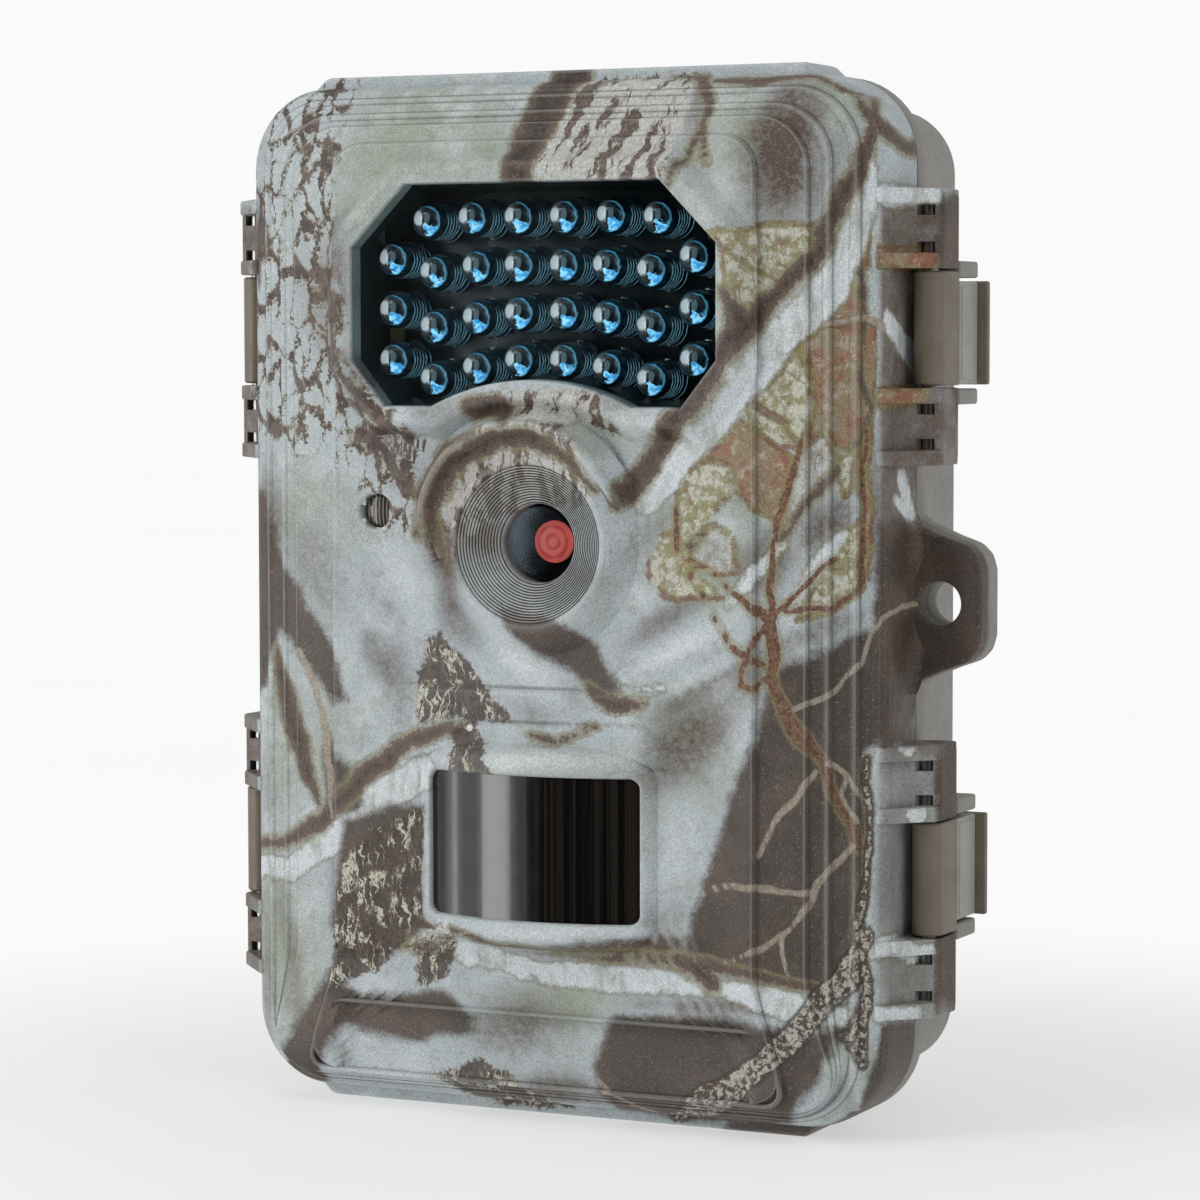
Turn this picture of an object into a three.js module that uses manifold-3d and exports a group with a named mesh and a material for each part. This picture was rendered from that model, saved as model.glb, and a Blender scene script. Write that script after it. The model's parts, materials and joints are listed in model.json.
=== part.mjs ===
import * as THREE from "three";
import { mergeVertices } from "three/addons/utils/BufferGeometryUtils.js";
import Module from "manifold-3d";

// Trail camera: a clamshell case. The front cover swings on two pins at its left,
// two latches close it at its right. Millimetres, +Z up, the front faces -Y.
// Design frame: X across from the case's middle, Y back from the front face's rim,
// Z up from mid height. The whole unit is then moved so that the origin is
// the middle of its base.

const wasm = await Module();
wasm.setup();

// ---- driving dimensions ----
const RIM_W = 48.0;             // case rim, half width
const RIM_H = 70.2;             // case rim, half height
const RIM_R = 11.5;             // case rim, corner radius
const HALF_H = 71.6;            // half height over the top and bottom ridges
const RIDGE_W = 37.0;           // ridges, half width
const COVER_BACK = 11.0;        // front cover's rear edge
const REAR_FRONT = 11.4;        // rear housing's front edge
const FLANGE_BACK = 14.7;       // end of the rear housing's rim
const BODY_W = 44.4;            // rear housing behind its rim, half width
const BODY_H = 67.4;
const BODY_BACK = 37.5;         // rear housing's broad back
const HUMP_BACK = 45.0;         // battery bulge's back
const BACK = 52.6;              // strap loops' back
const FRONT = -11.0;            // foremost point, the motion sensor's bezel
const PLATEAU = -6.2;           // raised middle of the front face
const PAD_FRONT = -8.5;         // light window's bezel
const LENS_FRONT = -9.2;        // lens cone's rim
const PIN_X = 51.2;             // hinge and latch pins, distance from the middle
const PIN_Y = 7.8;
const PIN_R = 1.1;
const PIN_HOLE_R = 1.16;
const KNUCKLE_R = 2.15;
const EAR_OUT = 53.4;           // outer face of the ears
const EAR_BACK = 12.6;
const EAR_BANDS = [[18.5, 28.7], [44.4, 54.9]];
const RIB_T = 2.0;              // ears' ribs
const CLIP_LOW = 29.0;          // latches and hinge leaves, between the ears
const CLIP_HIGH = 44.1;
const TAB_OUT = 57.6;           // padlock tab's outer edge
const HOLE_X = 51.8;
const HOLE_R = 2.95;
const LENS_Z = 7.7;
const PIR_Z = -33.3;
const PIR_R = 37.4;             // curve of the motion sensor's window
const CELL_R = 7.1;
const CELL_LEN = 50.0;
const CELL_Y = 35.6;
const CELL_PITCH = 15.0;
const BOSS_W = 15.0;            // tripod boss, half width
const SOCKET_Y = 28.0;
const GAP = 0.3;                // between touching pieces
const PANEL_SCREWS = [[-34, 57], [34, 57], [-34, -57], [34, -57]];

// ---- materials ----
const paint = (color, roughness, metalness = 0) =>
  new THREE.MeshStandardMaterial({ color, roughness, metalness });
const CAMO = paint(0x8f8b80, 0.6);
const GREY = paint(0x9b9a96, 0.55);
const TAN = paint(0x7d7466, 0.5);
const STEEL = paint(0xb9b9b6, 0.3, 1);
const BRASS = paint(0xb08d4a, 0.35, 1);
const BLACK = paint(0x151515, 0.4);
const BOARD = paint(0x1c4a2a, 0.5);
const GLASS = paint(0x20282c, 0.05);
const LED = paint(0x9fc4d4, 0.1);
const RED = paint(0xc8453a, 0.1);
const RUBBER = paint(0x2a2a2a, 0.8);
const CELL = paint(0x3c5a48, 0.35);
const PANEL = paint(0x3a3a38, 0.6);

// ---- solid helpers ----
const toSolid = (geometry) => {
  const g = geometry.clone();
  g.deleteAttribute("normal");
  g.deleteAttribute("uv");
  const m = mergeVertices(g, 1e-4);
  return new wasm.Manifold(new wasm.Mesh({
    numProp: 3,
    vertProperties: new Float32Array(m.attributes.position.array),
    triVerts: new Uint32Array(m.index.array),
  }));
};

const toGeometry = (solid) => {
  const mesh = solid.getMesh();
  const g = new THREE.BufferGeometry();
  g.setAttribute("position", new THREE.BufferAttribute(new Float32Array(mesh.vertProperties), 3));
  g.setIndex(new THREE.BufferAttribute(new Uint32Array(mesh.triVerts), 1));
  return g;
};

const join = (...list) => toGeometry(list.map(toSolid).reduce((a, b) => a.add(b)));

const cut = (base, ...tools) =>
  toGeometry(tools.map(toSolid).reduce((a, b) => a.subtract(b), toSolid(base)));

const common = (a, b) => toGeometry(toSolid(a).intersect(toSolid(b)));

// block between two corners
const block = (x0, x1, y0, y1, z0, z1) =>
  new THREE.BoxGeometry(x1 - x0, y1 - y0, z1 - z0)
    .translate((x0 + x1) / 2, (y0 + y1) / 2, (z0 + z1) / 2);

// round bar along Z
const barZ = (r, z0, z1, x, y, n = 20) =>
  new THREE.CylinderGeometry(r, r, z1 - z0, n)
    .rotateX(Math.PI / 2)
    .translate(x, y, (z0 + z1) / 2);

// round bar along Y, with its own radius at the front end
const barY = (r, y0, y1, x, z, n = 20, rFront = r) =>
  new THREE.CylinderGeometry(r, rFront, y1 - y0, n).translate(x, (y0 + y1) / 2, z);

// outline in X and Z, solid from y0 back to y1
const slabY = (points, y0, y1) =>
  new THREE.ExtrudeGeometry(
    new THREE.Shape(points.map(([x, z]) => new THREE.Vector2(x, z))),
    { depth: y1 - y0, bevelEnabled: false },
  ).rotateX(Math.PI / 2).translate(0, y1, 0);

// outline in X and Y, solid from z0 up to z1
const slabZ = (points, z0, z1) =>
  new THREE.ExtrudeGeometry(
    new THREE.Shape(points.map(([x, y]) => new THREE.Vector2(x, y))),
    { depth: z1 - z0, bevelEnabled: false },
  ).translate(0, 0, z0);

// rounded rectangle, counter-clockwise seen from the front
const roundRect = (halfW, halfH, r, steps = 5) => {
  const points = [];
  const corners = [[1, -1, -0.5], [1, 1, 0], [-1, 1, 0.5], [-1, -1, 1]];
  for (const [sx, sz, turn] of corners) {
    for (let i = 0; i <= steps; i += 1) {
      const a = Math.PI * (turn + 0.5 * i / steps);
      points.push([
        sx * (halfW - r) + r * Math.cos(a),
        sz * (halfH - r) + r * Math.sin(a),
      ]);
    }
  }
  return points;
};

// closed solid through outlines given from front to back
const loft = (rings) => {
  const n = rings[0].points.length;
  const position = [];
  const index = [];
  for (const { y, points } of rings) {
    for (const [x, z] of points) {
      position.push(x, y, z);
    }
  }
  for (let k = 1; k + 1 < n; k += 1) {
    const last = (rings.length - 1) * n;
    index.push(0, k, k + 1);
    index.push(last, last + k + 1, last + k);
  }
  for (let i = 0; i + 1 < rings.length; i += 1) {
    for (let k = 0; k < n; k += 1) {
      const f = i * n + k;
      const g = i * n + (k + 1) % n;
      index.push(f, f + n, g + n);
      index.push(f, g + n, g);
    }
  }
  const geometry = new THREE.BufferGeometry();
  geometry.setAttribute("position", new THREE.Float32BufferAttribute(position, 3));
  geometry.setIndex(index);
  return geometry;
};

const ring = (y, halfW, halfH, r) => ({ y, points: roundRect(halfW, halfH, r) });

const mirrorX = (points) => points.map(([x, y]) => [-x, y]).reverse();

const mirrorPoints = (points, side) => (side > 0 ? points : mirrorX(points));

// ---- assembly bookkeeping ----
const unit = new THREE.Group();
unit.name = "trail_camera";
const add = (name, geometry, material) => {
  const mesh = new THREE.Mesh(geometry, material);
  mesh.name = name;
  unit.add(mesh);
  return mesh;
};

// ---- light window outline ----
const WINDOW_Z = 41.2;
const windowOutline = (grow) => {
  const side = [[22.2, 26.1], [27.3, 32.4], [27.3, 47.8], [19.0, 56.3]];
  const arc = [];
  const radius = 33.0;
  const half = Math.asin(15 / radius);
  for (let i = 0; i <= 6; i += 1) {
    const a = half * (i / 3 - 1);
    arc.push([radius * Math.sin(a), 26.1 + radius * (Math.cos(a) - Math.cos(half))]);
  }
  const points = [...arc, ...side, ...mirrorX(side)];
  const k = 1 + grow / 27.3;
  return points.map(([x, z]) => [x * k, WINDOW_Z + (z - WINDOW_Z) * k]);
};

// ---- front cover ----
const coverBody = loft([
  ring(PLATEAU, 34.5, 66.8, 5),
  ring(-4.4, 38.5, 68.0, 7),
  ring(-2.8, 42.6, 69.0, 9),
  ring(-1.0, 46.0, 69.6, 10.3),
  ring(1.0, 47.2, 70.0, 11),
  ring(COVER_BACK, RIM_W, RIM_H, RIM_R),
]);
const coverCavity = loft([
  ring(-3.8, 32.0, 64.2, 4),
  ring(-1.8, 39.0, 65.8, 6),
  ring(0.8, 43.8, 67.0, 8.4),
  ring(3.0, 44.9, 67.4, 9),
  ring(COVER_BACK + 1, 45.5, 67.8, 9.3),
]);

const ridge = (side) => {
  const points = [[-RIDGE_W - 1.5, 69.0], [RIDGE_W + 1.5, 69.0], [RIDGE_W, HALF_H], [-RIDGE_W, HALF_H]];
  const shaped = side > 0 ? points : points.map(([x, z]) => [x, -z]).reverse();
  return slabY(shaped, 0.8, COVER_BACK);
};

// chamfered pad standing on the plateau
const pad = (base, top, yTop) => loft([
  { y: yTop, points: top },
  { y: PLATEAU + 1.2, points: base },
]);
const octagon = (halfW, top, bottom, slant, low) => [
  [low, bottom], [halfW, bottom + slant], [halfW, top - slant - 1.6], [halfW - 8.8 - slant * 0.2, top],
  [-(halfW - 8.8 - slant * 0.2), top], [-halfW, top - slant - 1.6], [-halfW, bottom + slant], [-low, bottom],
];
const lightPad = pad(octagon(32.0, 61.2, 21.0, 8.6, 26.0), octagon(30.2, 59.4, 22.6, 8.2, 24.4), PAD_FRONT);
const lensPad = barY(15.4, LENS_FRONT, PLATEAU + 1, 0, LENS_Z, 32, 12.2);
const sensorPad = common(
  barZ(PIR_R + 1.2, PIR_Z - 13.0, PIR_Z + 13.2, 0, FRONT + PIR_R + 1.2, 72),
  block(-19.0, 19.0, FRONT - 1, PLATEAU + 1.4, PIR_Z - 13.0, PIR_Z + 13.2),
);

// ear block: two ribs, a web between them and an outer strip that carries the pin
const EAR = [
  [46.0, 0.2], [46.9, -0.3], [EAR_OUT, 6.35], [EAR_OUT, EAR_BACK],
  [50.4, EAR_BACK], [47.3, COVER_BACK - 0.1], [46.0, COVER_BACK - 0.1],
];
const EAR_SCOOP = [[48.0, -2.0], [60.0, -2.0], [60.0, 7.3], [52.2, 7.3], [48.0, 2.6]];
const ear = (side, low, high) => {
  const body = slabZ(mirrorPoints(EAR, side), low, high);
  const scoop = slabZ(mirrorPoints(EAR_SCOOP, side), low + RIB_T, high - RIB_T);
  const pinHole = barZ(PIN_HOLE_R, low - 1, high + 1, side * PIN_X, PIN_Y);
  const windows = [low + RIB_T + 0.3, high - RIB_T - 1.7].map((z) =>
    block(side * PIN_X - 1.0, side * PIN_X + 1.0, 4.0, PIN_Y, z, z + 1.4));
  return cut(body, scoop, pinHole, ...windows);
};
const ears = [];
for (const side of [-1, 1]) {
  for (const [low, high] of EAR_BANDS) {
    ears.push(ear(side, low, high));
    ears.push(ear(side, -high, -low));
  }
}

// padlock tab, one layer on each half of the case
const TAB_UPPER = [
  [46.0, 12.6], [48.4, 10.6], [52.5, 8.9], [55.6, 7.8], [57.0, 6.4], [TAB_OUT, 4.4],
];
const TAB = [...TAB_UPPER.map(([x, z]) => [x, -z]), ...TAB_UPPER.slice().reverse()];
const tabFront = cut(
  slabY(TAB, 9.8, 12.9),
  block(40, RIM_W + 0.4, COVER_BACK, 14, -15, 15),
  barY(HOLE_R, 8, 20, HOLE_X, 0, 28),
);

const openings = [
  slabY(windowOutline(0), -13, 0),
  barY(5.4, LENS_FRONT - 0.4, -5.8, 0, LENS_Z, 32, 10.9),
  barY(5.4, -6.0, 0, 0, LENS_Z, 32),
  block(-15.8, 15.8, -13, 0, PIR_Z - 9.9, PIR_Z + 9.9),
  barY(2.4, -8, 0, -24.8, 11.7, 16),
  barY(0.6, -8, 0, -31.4, -49.0, 8),
  slabY(roundRect(31.2, 4.9, 2.2, 3).map(([x, z]) => [x, z - 61.5]), -8, PLATEAU + 0.8),
];
const coverShell = cut(join(coverBody, ridge(1), ridge(-1), lightPad, lensPad, sensorPad), coverCavity);
const screwBosses = PANEL_SCREWS.map(([x, z]) => barY(3.2, -3.0, 9.1, x, z, 16));
const screwHoles = PANEL_SCREWS.map(([x, z]) => barY(1.6, 5.0, 10, x, z, 12));
add("front_cover",
  cut(join(coverShell, ...ears, tabFront, ...screwBosses), ...openings, ...screwHoles), CAMO);

// ---- pins, hinge leaves and bushings ----
for (const [sideName, side] of [["hinge", -1], ["latch", 1]]) {
  for (const [levelName, level] of [["upper", 1], ["lower", -1]]) {
    const low = level > 0 ? EAR_BANDS[0][0] + 0.4 : -EAR_BANDS[1][1] + 0.4;
    const high = level > 0 ? EAR_BANDS[1][1] - 0.4 : -EAR_BANDS[0][0] - 0.4;
    add(`${sideName}_pin_${levelName}`, barZ(PIN_R, low, high, side * PIN_X, PIN_Y, 16), STEEL);
  }
}

const LEAF = [
  [51.3, PIN_Y], [53.35, PIN_Y], [53.35, 21.0], [BODY_W + GAP + 0.1, 21.0],
  [BODY_W + GAP + 0.1, 15.1], [51.3, 15.1],
];
for (const [levelName, level] of [["upper", 1], ["lower", -1]]) {
  const low = level > 0 ? CLIP_LOW : -CLIP_HIGH;
  const high = level > 0 ? CLIP_HIGH : -CLIP_LOW;
  const leaf = cut(
    join(slabZ(mirrorX(LEAF), low, high), barZ(KNUCKLE_R, low, high, -PIN_X, PIN_Y, 24)),
    barZ(PIN_HOLE_R, low - 1, high + 1, -PIN_X, PIN_Y),
    barZ(1.95, low - 1, low + 2.4, -PIN_X, PIN_Y),
    barZ(1.95, high - 2.4, high + 1, -PIN_X, PIN_Y),
    block(-60, -PIN_X + 0.6, 0, PIN_Y + 0.2, low - 1, low + 2.4),
    block(-60, -PIN_X + 0.6, 0, PIN_Y + 0.2, high - 2.4, high + 1),
  );
  add(`hinge_leaf_${levelName}`, leaf, TAN);
  for (const [endName, z] of [["low", low + 0.1], ["high", high - 2.2]]) {
    const bush = cut(
      barZ(1.7, z, z + 2.1, -PIN_X, PIN_Y, 16),
      barZ(PIN_HOLE_R, z - 1, z + 4, -PIN_X, PIN_Y, 16),
    );
    add(`hinge_bush_${levelName}_${endName}`, bush, BRASS);
  }
}

// ---- latches ----
const CLIP = [
  [49.35, PIN_Y], [53.35, PIN_Y], [53.35, 13.1], [51.3, 13.1], [51.3, 19.6], [54.6, 19.6],
  [54.6, 21.6], [49.35, 21.6], [49.35, 12.0],
];
for (const [levelName, level] of [["upper", 1], ["lower", -1]]) {
  const low = level > 0 ? CLIP_LOW : -CLIP_HIGH;
  const high = level > 0 ? CLIP_HIGH : -CLIP_LOW;
  const tailLow = level > 0 ? low - 0.2 : low + 1.2;
  const tailHigh = level > 0 ? high - 1.2 : high + 0.2;
  const clip = cut(
    join(slabZ(CLIP, low, high), barZ(KNUCKLE_R, low, high, PIN_X, PIN_Y, 24)),
    barZ(PIN_HOLE_R, low - 1, high + 1, PIN_X, PIN_Y),
    block(40, 60, 13.1, 30, tailHigh, high + 1),
    block(40, 60, 13.1, 30, low - 1, Math.max(tailLow, low)),
  );
  add(`latch_${levelName}`, clip, TAN);
  add(`latch_pad_${levelName}`,
    block(51.3 + GAP, 53.4, 13.4, 19.3, Math.max(tailLow, low) + 0.1, tailHigh - 0.1), GREY);
}

// ---- rear housing ----
const rearOuter = loft([
  ring(REAR_FRONT, RIM_W, RIM_H, RIM_R),
  ring(FLANGE_BACK, RIM_W, RIM_H, RIM_R),
  ring(FLANGE_BACK + 0.01, BODY_W, BODY_H, 9.5),
  ring(34.0, 44.0, 67.0, 9.2),
  ring(36.6, 42.6, 65.6, 8.2),
  ring(BODY_BACK, 40.6, 63.6, 7),
]);
const hump = loft([
  ring(36.0, 36.0, 57.0, 6),
  ring(43.4, 35.6, 56.6, 6),
  ring(HUMP_BACK, 34.0, 55.0, 5),
]);
const rearCavity = loft([
  ring(REAR_FRONT - 1, 42.0, 65.0, 7.5),
  ring(34.4, 41.6, 64.6, 7.2),
  ring(35.2, 40.6, 63.6, 6.6),
]);
const cellBay = loft([
  ring(34.0, 33.4, 54.4, 3),
  ring(HUMP_BACK - 1.9, 33.2, 54.2, 3),
]);
const mid = block(-34, 34, 27.0, HUMP_BACK - 1, -1.0, 1.0);

// guards above and below each latch, and the bead the latch snaps over
const guards = [];
for (const level of [-1, 1]) {
  const span = (a, b) => (level > 0 ? [a, b] : [-b, -a]);
  const [a0, a1] = span(26.4, CLIP_LOW - 0.5);
  const [b0, b1] = span(CLIP_HIGH - 0.8, 45.5);
  const [c0, c1] = span(31.0, 41.0);
  guards.push(block(BODY_W - 1.4, 53.3, 13.4, 20.4, a0, a1));
  guards.push(block(BODY_W - 1.4, 53.3, 13.4, 20.4, b0, b1));
  guards.push(block(BODY_W - 1.4, 48.6, 15.5, 17.5, c0, c1));
}

// room for the ears' rear corners when the cover swings
const reliefs = [];
for (const side of [-1, 1]) {
  for (const [low, high] of EAR_BANDS) {
    const x0 = side > 0 ? 46.4 : -60;
    const x1 = side > 0 ? 60 : -46.4;
    reliefs.push(block(x0, x1, 10, 13.6, low - 0.5, high + 0.5));
    reliefs.push(block(x0, x1, 10, 13.6, -high - 0.5, -low + 0.5));
  }
}
const padlockTab = cut(
  slabY(TAB, 13.3, 16.6),
  block(40, RIM_W + GAP, 12, FLANGE_BACK + GAP, -15, 15),
  block(40, BODY_W + GAP, 12, 18, -15, 15),
  barY(HOLE_R, 8, 20, HOLE_X, 0, 28),
);
add("padlock_tab", padlockTab, GREY);

// strap loops: an upright bar on two lugs at each side of the back
const STRAP_H = 16.0;
for (const [sideName, x0] of [["left", -31], ["right", 24]]) {
  const x1 = x0 + 7;
  add(`strap_loop_${sideName}`, join(
    block(x0, x1, BACK - 3, BACK, -STRAP_H - 4, STRAP_H + 4),
    block(x0, x1, HUMP_BACK + GAP, BACK - 0.5, STRAP_H, STRAP_H + 4),
    block(x0, x1, HUMP_BACK + GAP, BACK - 0.5, -STRAP_H - 4, -STRAP_H),
  ), GREY);
}
const gripRibs = [-1, 1].map((level) => {
  const z0 = level > 0 ? 42 : -47;
  return block(-29, 29, HUMP_BACK - 1, BACK, z0, z0 + 5);
});
const boss = block(-BOSS_W, BOSS_W, 20.0, 37.0, -HALF_H, -60);
const socketHole = barZ(4.4, -HALF_H - 1, -63.0, 0, SOCKET_Y, 24);
const jackHole = barZ(3.8, -70, -60, 27.0, SOCKET_Y, 20);
const rearShell = cut(
  join(cut(join(rearOuter, hump), rearCavity, cellBay), mid, boss, ...guards, ...gripRibs),
  socketHole, jackHole, ...reliefs,
);
add("rear_housing", rearShell, GREY);

add("tripod_insert", cut(
  barZ(4.1, -HALF_H + 0.4, -63.4, 0, SOCKET_Y, 24),
  barZ(2.7, -HALF_H - 1, -64.6, 0, SOCKET_Y, 24),
), BRASS);
add("power_jack", cut(
  barZ(3.5, -67.0, -58.0, 27.0, SOCKET_Y, 20),
  barZ(1.6, -68.0, -59.5, 27.0, SOCKET_Y, 16),
), BLACK);

// rim seal, sits just inside the rear housing's mouth
const sealOuter = loft([ring(11.7, 41.7, 64.7, 7.3), ring(14.2, 41.7, 64.7, 7.3)]);
const sealInner = loft([ring(11.0, 40.1, 63.1, 6.2), ring(15.0, 40.1, 63.1, 6.2)]);
add("rim_seal", cut(sealOuter, sealInner), RUBBER);

// ---- battery bay: eight cells on two levels, contact plates at both ends ----
const cellX = (i) => (i - 1.5) * CELL_PITCH;
for (let i = 0; i < 4; i += 1) {
  for (const [levelName, level] of [["upper", 1], ["lower", -1]]) {
    const low = level > 0 ? 1.6 : -1.6 - CELL_LEN;
    const plus = i % 2 === 0;
    const nub = plus ? [low + CELL_LEN - 1.4, low + CELL_LEN] : [low, low + 1.4];
    const body = plus ? [low, low + CELL_LEN - 1.2] : [low + 1.2, low + CELL_LEN];
    const cell = join(
      barZ(CELL_R, body[0], body[1], cellX(i), CELL_Y, 20),
      barZ(2.6, nub[0], nub[1], cellX(i), CELL_Y, 10),
    );
    add(`battery_${levelName}_${i + 1}`, cell, CELL);
  }
}
for (const [levelName, level] of [["upper", 1], ["lower", -1]]) {
  const plate = level > 0 ? [53.4, 54.0] : [-54.0, -53.4];
  const parts = [block(-30, 30, 29.4, 41.8, plate[0], plate[1])];
  for (let i = 0; i < 4; i += 1) {
    const tip = level > 0 ? [51.9, 53.5] : [-53.5, -51.9];
    parts.push(barZ(2.2, tip[0], tip[1], cellX(i), CELL_Y, 8));
  }
  add(`contact_plate_${levelName}`, join(...parts), STEEL);
}

// ---- infrared lamps ----
// columns and heights of the four rows, one entry per lamp on the right half
const LAMP_ROWS = [
  [[3.4, 51.6], [10.4, 51.6], [17.3, 51.3]],
  [[3.4, 45.1], [9.8, 45.0], [16.3, 44.3], [22.6, 46.1]],
  [[3.4, 38.7], [9.8, 38.1], [16.3, 36.9], [22.6, 39.2]],
  [[3.4, 32.3], [9.8, 31.3], [16.3, 29.8], [22.6, 32.4]],
];
const lampProfile = [[0, 8.4], [2.45, 8.4], [2.45, 2.4], [2.05, 1.2], [1.2, 0.3], [0, 0]];
const lamps = [slabY([[24.4, 27.2], [25.4, 30], [25.4, 49], [20, 54.6], [-20, 54.6], [-25.4, 49], [-25.4, 30], [-24.4, 27.2]], 2.5, 3.3)];
for (const row of LAMP_ROWS) {
  for (const [x, z] of row) {
    for (const side of [-1, 1]) {
      const dome = new THREE.LatheGeometry(
        lampProfile.slice().reverse().map(([r, d]) => new THREE.Vector2(r, d)), 10)
        .translate(side * x, -5.5, z);
      lamps.push(dome);
    }
  }
}
add("lamp_array", join(...lamps), LED);
add("lamp_board", block(-27, 27, 3.7, 5.1, 25.6, 57.6), BOARD);
add("lamp_window", slabY(windowOutline(-GAP), -7.4, -6.2), GLASS);

// ---- lens module ----
add("lens_barrel", cut(
  barY(7.4, -3.4, 5.0, 0, LENS_Z, 28),
  barY(4.8, -5, -1.3, 0, LENS_Z, 24),
  barY(3.2, -2, 6, 0, LENS_Z, 20),
), BLACK);
add("lens_glass", barY(5.1, -5.6, -4.4, 0, LENS_Z, 28), GLASS);
add("lens_filter", barY(2.9, -1.1, -0.4, 0, LENS_Z, 24), RED);
add("image_sensor", block(-4.5, 4.5, 5.4, 6.6, LENS_Z - 4.5, LENS_Z + 4.5), BLACK);

// ---- motion sensor ----
const PIR_CENTRE = FRONT + 0.9 + PIR_R;
add("motion_window", common(
  cut(
    barZ(PIR_R, PIR_Z - 9.6, PIR_Z + 9.6, 0, PIR_CENTRE, 72),
    barZ(PIR_R - 1.2, PIR_Z - 12, PIR_Z + 12, 0, PIR_CENTRE, 72),
  ),
  block(-15.5, 15.5, -13, 0, PIR_Z - 9.6, PIR_Z + 9.6),
), BLACK);
add("motion_holder", cut(
  block(-17.6, 17.6, -3.5, 1.6, PIR_Z - 11.8, PIR_Z + 11.8),
  block(-14.4, 14.4, -5, 0.4, PIR_Z - 8.8, PIR_Z + 8.8),
  barY(4.6, -1, 3, 0, PIR_Z, 20),
), BLACK);
add("motion_sensor", barY(4.1, 2.0, 6.4, 0, PIR_Z, 20), STEEL);

// ---- light sensor window and microphone ----
add("light_sensor_window", barY(2.1, -6.0, -3.6, -24.8, 11.7, 16), GLASS);
add("microphone", barY(2.6, -3.4, -1.6, -31.0, -49.0, 14), BLACK);

// ---- boards and inner panel ----
add("main_board", block(-41, 41, 6.9, 8.3, -52, 24), BOARD);
const KEYS = [["left", -29, -14], ["right", -5, -14], ["up", -17, -4], ["down", -17, -24], ["ok", -17, -14]];
const CARD = { low: -42, high: -10, left: 5, right: 29 };
const panel = cut(
  loft([ring(9.4, 39.6, 62.6, 6), ring(12.6, 39.6, 62.6, 6)]),
  block(-20, 20, 8, 14, 6, 34),
  ...KEYS.map(([, x, z]) => block(x - 4.3, x + 4.3, 8, 14, z - 3.3, z + 3.3)),
  block(-26, -8, 8, 14, -42, -37),
  block(CARD.left - 1.8, CARD.right + 1.8, 8, 14, -70, CARD.high + 2),
  ...PANEL_SCREWS.map(([x, z]) => barY(1.7, 8, 14, x, z, 12)),
);
add("inner_panel", panel, PANEL);
add("display", block(-19.6, 19.6, 8.7, 11.6, 6.4, 33.6), GLASS);
for (const [name, x, z] of KEYS) {
  add(`key_${name}`, block(x - 3.9, x + 3.9, 9.4, 13.6, z - 2.9, z + 2.9), RUBBER);
}
add("mode_switch", block(-19.5, -14.5, 9.0, 14.2, -41.4, -37.6), BLACK);
add("card_socket", cut(
  block(CARD.left - 1.2, CARD.right + 1.2, 8.6, 12.0, CARD.low + 4, CARD.high + 1.5),
  block(CARD.left - 0.3, CARD.right + 0.3, 8.9, 11.6, CARD.low - 2, CARD.high + 0.4),
), STEEL);
add("memory_card", block(CARD.left, CARD.right, 9.2, 11.3, CARD.low, CARD.high), BLACK);
PANEL_SCREWS.forEach(([x, z], i) => {
  const screw = join(
    barY(1.4, 6.0, 12.7, x, z, 10),
    barY(2.9, 12.9, 14.4, x, z, 14),
    barY(1.4, 12.5, 13.1, x, z, 10),
  );
  add(`panel_screw_${i + 1}`, screw, STEEL);
});

// ---- origin: middle of the base ----
const part = new THREE.Group();
part.name = "trail_camera_on_base";
unit.position.set((EAR_OUT - TAB_OUT) / 2, -(FRONT + BACK) / 2, HALF_H);
part.add(unit);

export default part;
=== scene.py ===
"""Trail camera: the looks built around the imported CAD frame.

Lengths are millimetres in a design frame: X across from the case's middle, Y back from the
front face's rim plane, Z up from mid height. place() turns them into the frame's metres.
"""

import json
import math

import bmesh
import bpy
import numpy as np
from mathutils import Matrix, Vector


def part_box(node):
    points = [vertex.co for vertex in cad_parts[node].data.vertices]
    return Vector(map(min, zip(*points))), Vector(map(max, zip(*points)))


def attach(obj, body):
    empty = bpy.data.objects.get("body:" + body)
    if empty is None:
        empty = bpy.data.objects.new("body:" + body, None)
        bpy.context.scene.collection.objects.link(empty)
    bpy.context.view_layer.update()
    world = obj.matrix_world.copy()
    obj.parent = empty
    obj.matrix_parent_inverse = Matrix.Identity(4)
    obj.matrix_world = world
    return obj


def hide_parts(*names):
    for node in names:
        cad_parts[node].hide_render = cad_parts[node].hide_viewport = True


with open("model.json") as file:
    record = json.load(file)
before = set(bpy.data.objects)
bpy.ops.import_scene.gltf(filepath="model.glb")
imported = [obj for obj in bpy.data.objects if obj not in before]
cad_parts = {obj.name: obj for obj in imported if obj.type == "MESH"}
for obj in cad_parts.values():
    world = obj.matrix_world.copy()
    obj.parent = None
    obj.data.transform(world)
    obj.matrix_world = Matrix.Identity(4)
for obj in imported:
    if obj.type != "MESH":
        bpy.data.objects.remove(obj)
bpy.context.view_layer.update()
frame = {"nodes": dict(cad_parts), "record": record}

# ---- the design frame, from the CAD cover ----
MM = 0.001
EAR_OUT = 53.4
FRONT = -11.0
cover_low, cover_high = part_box("front_cover")
ORIGIN = np.array([
    cover_low.x + EAR_OUT * MM,
    cover_low.y - FRONT * MM,
    (cover_low.z + cover_high.z) / 2,
])

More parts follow.
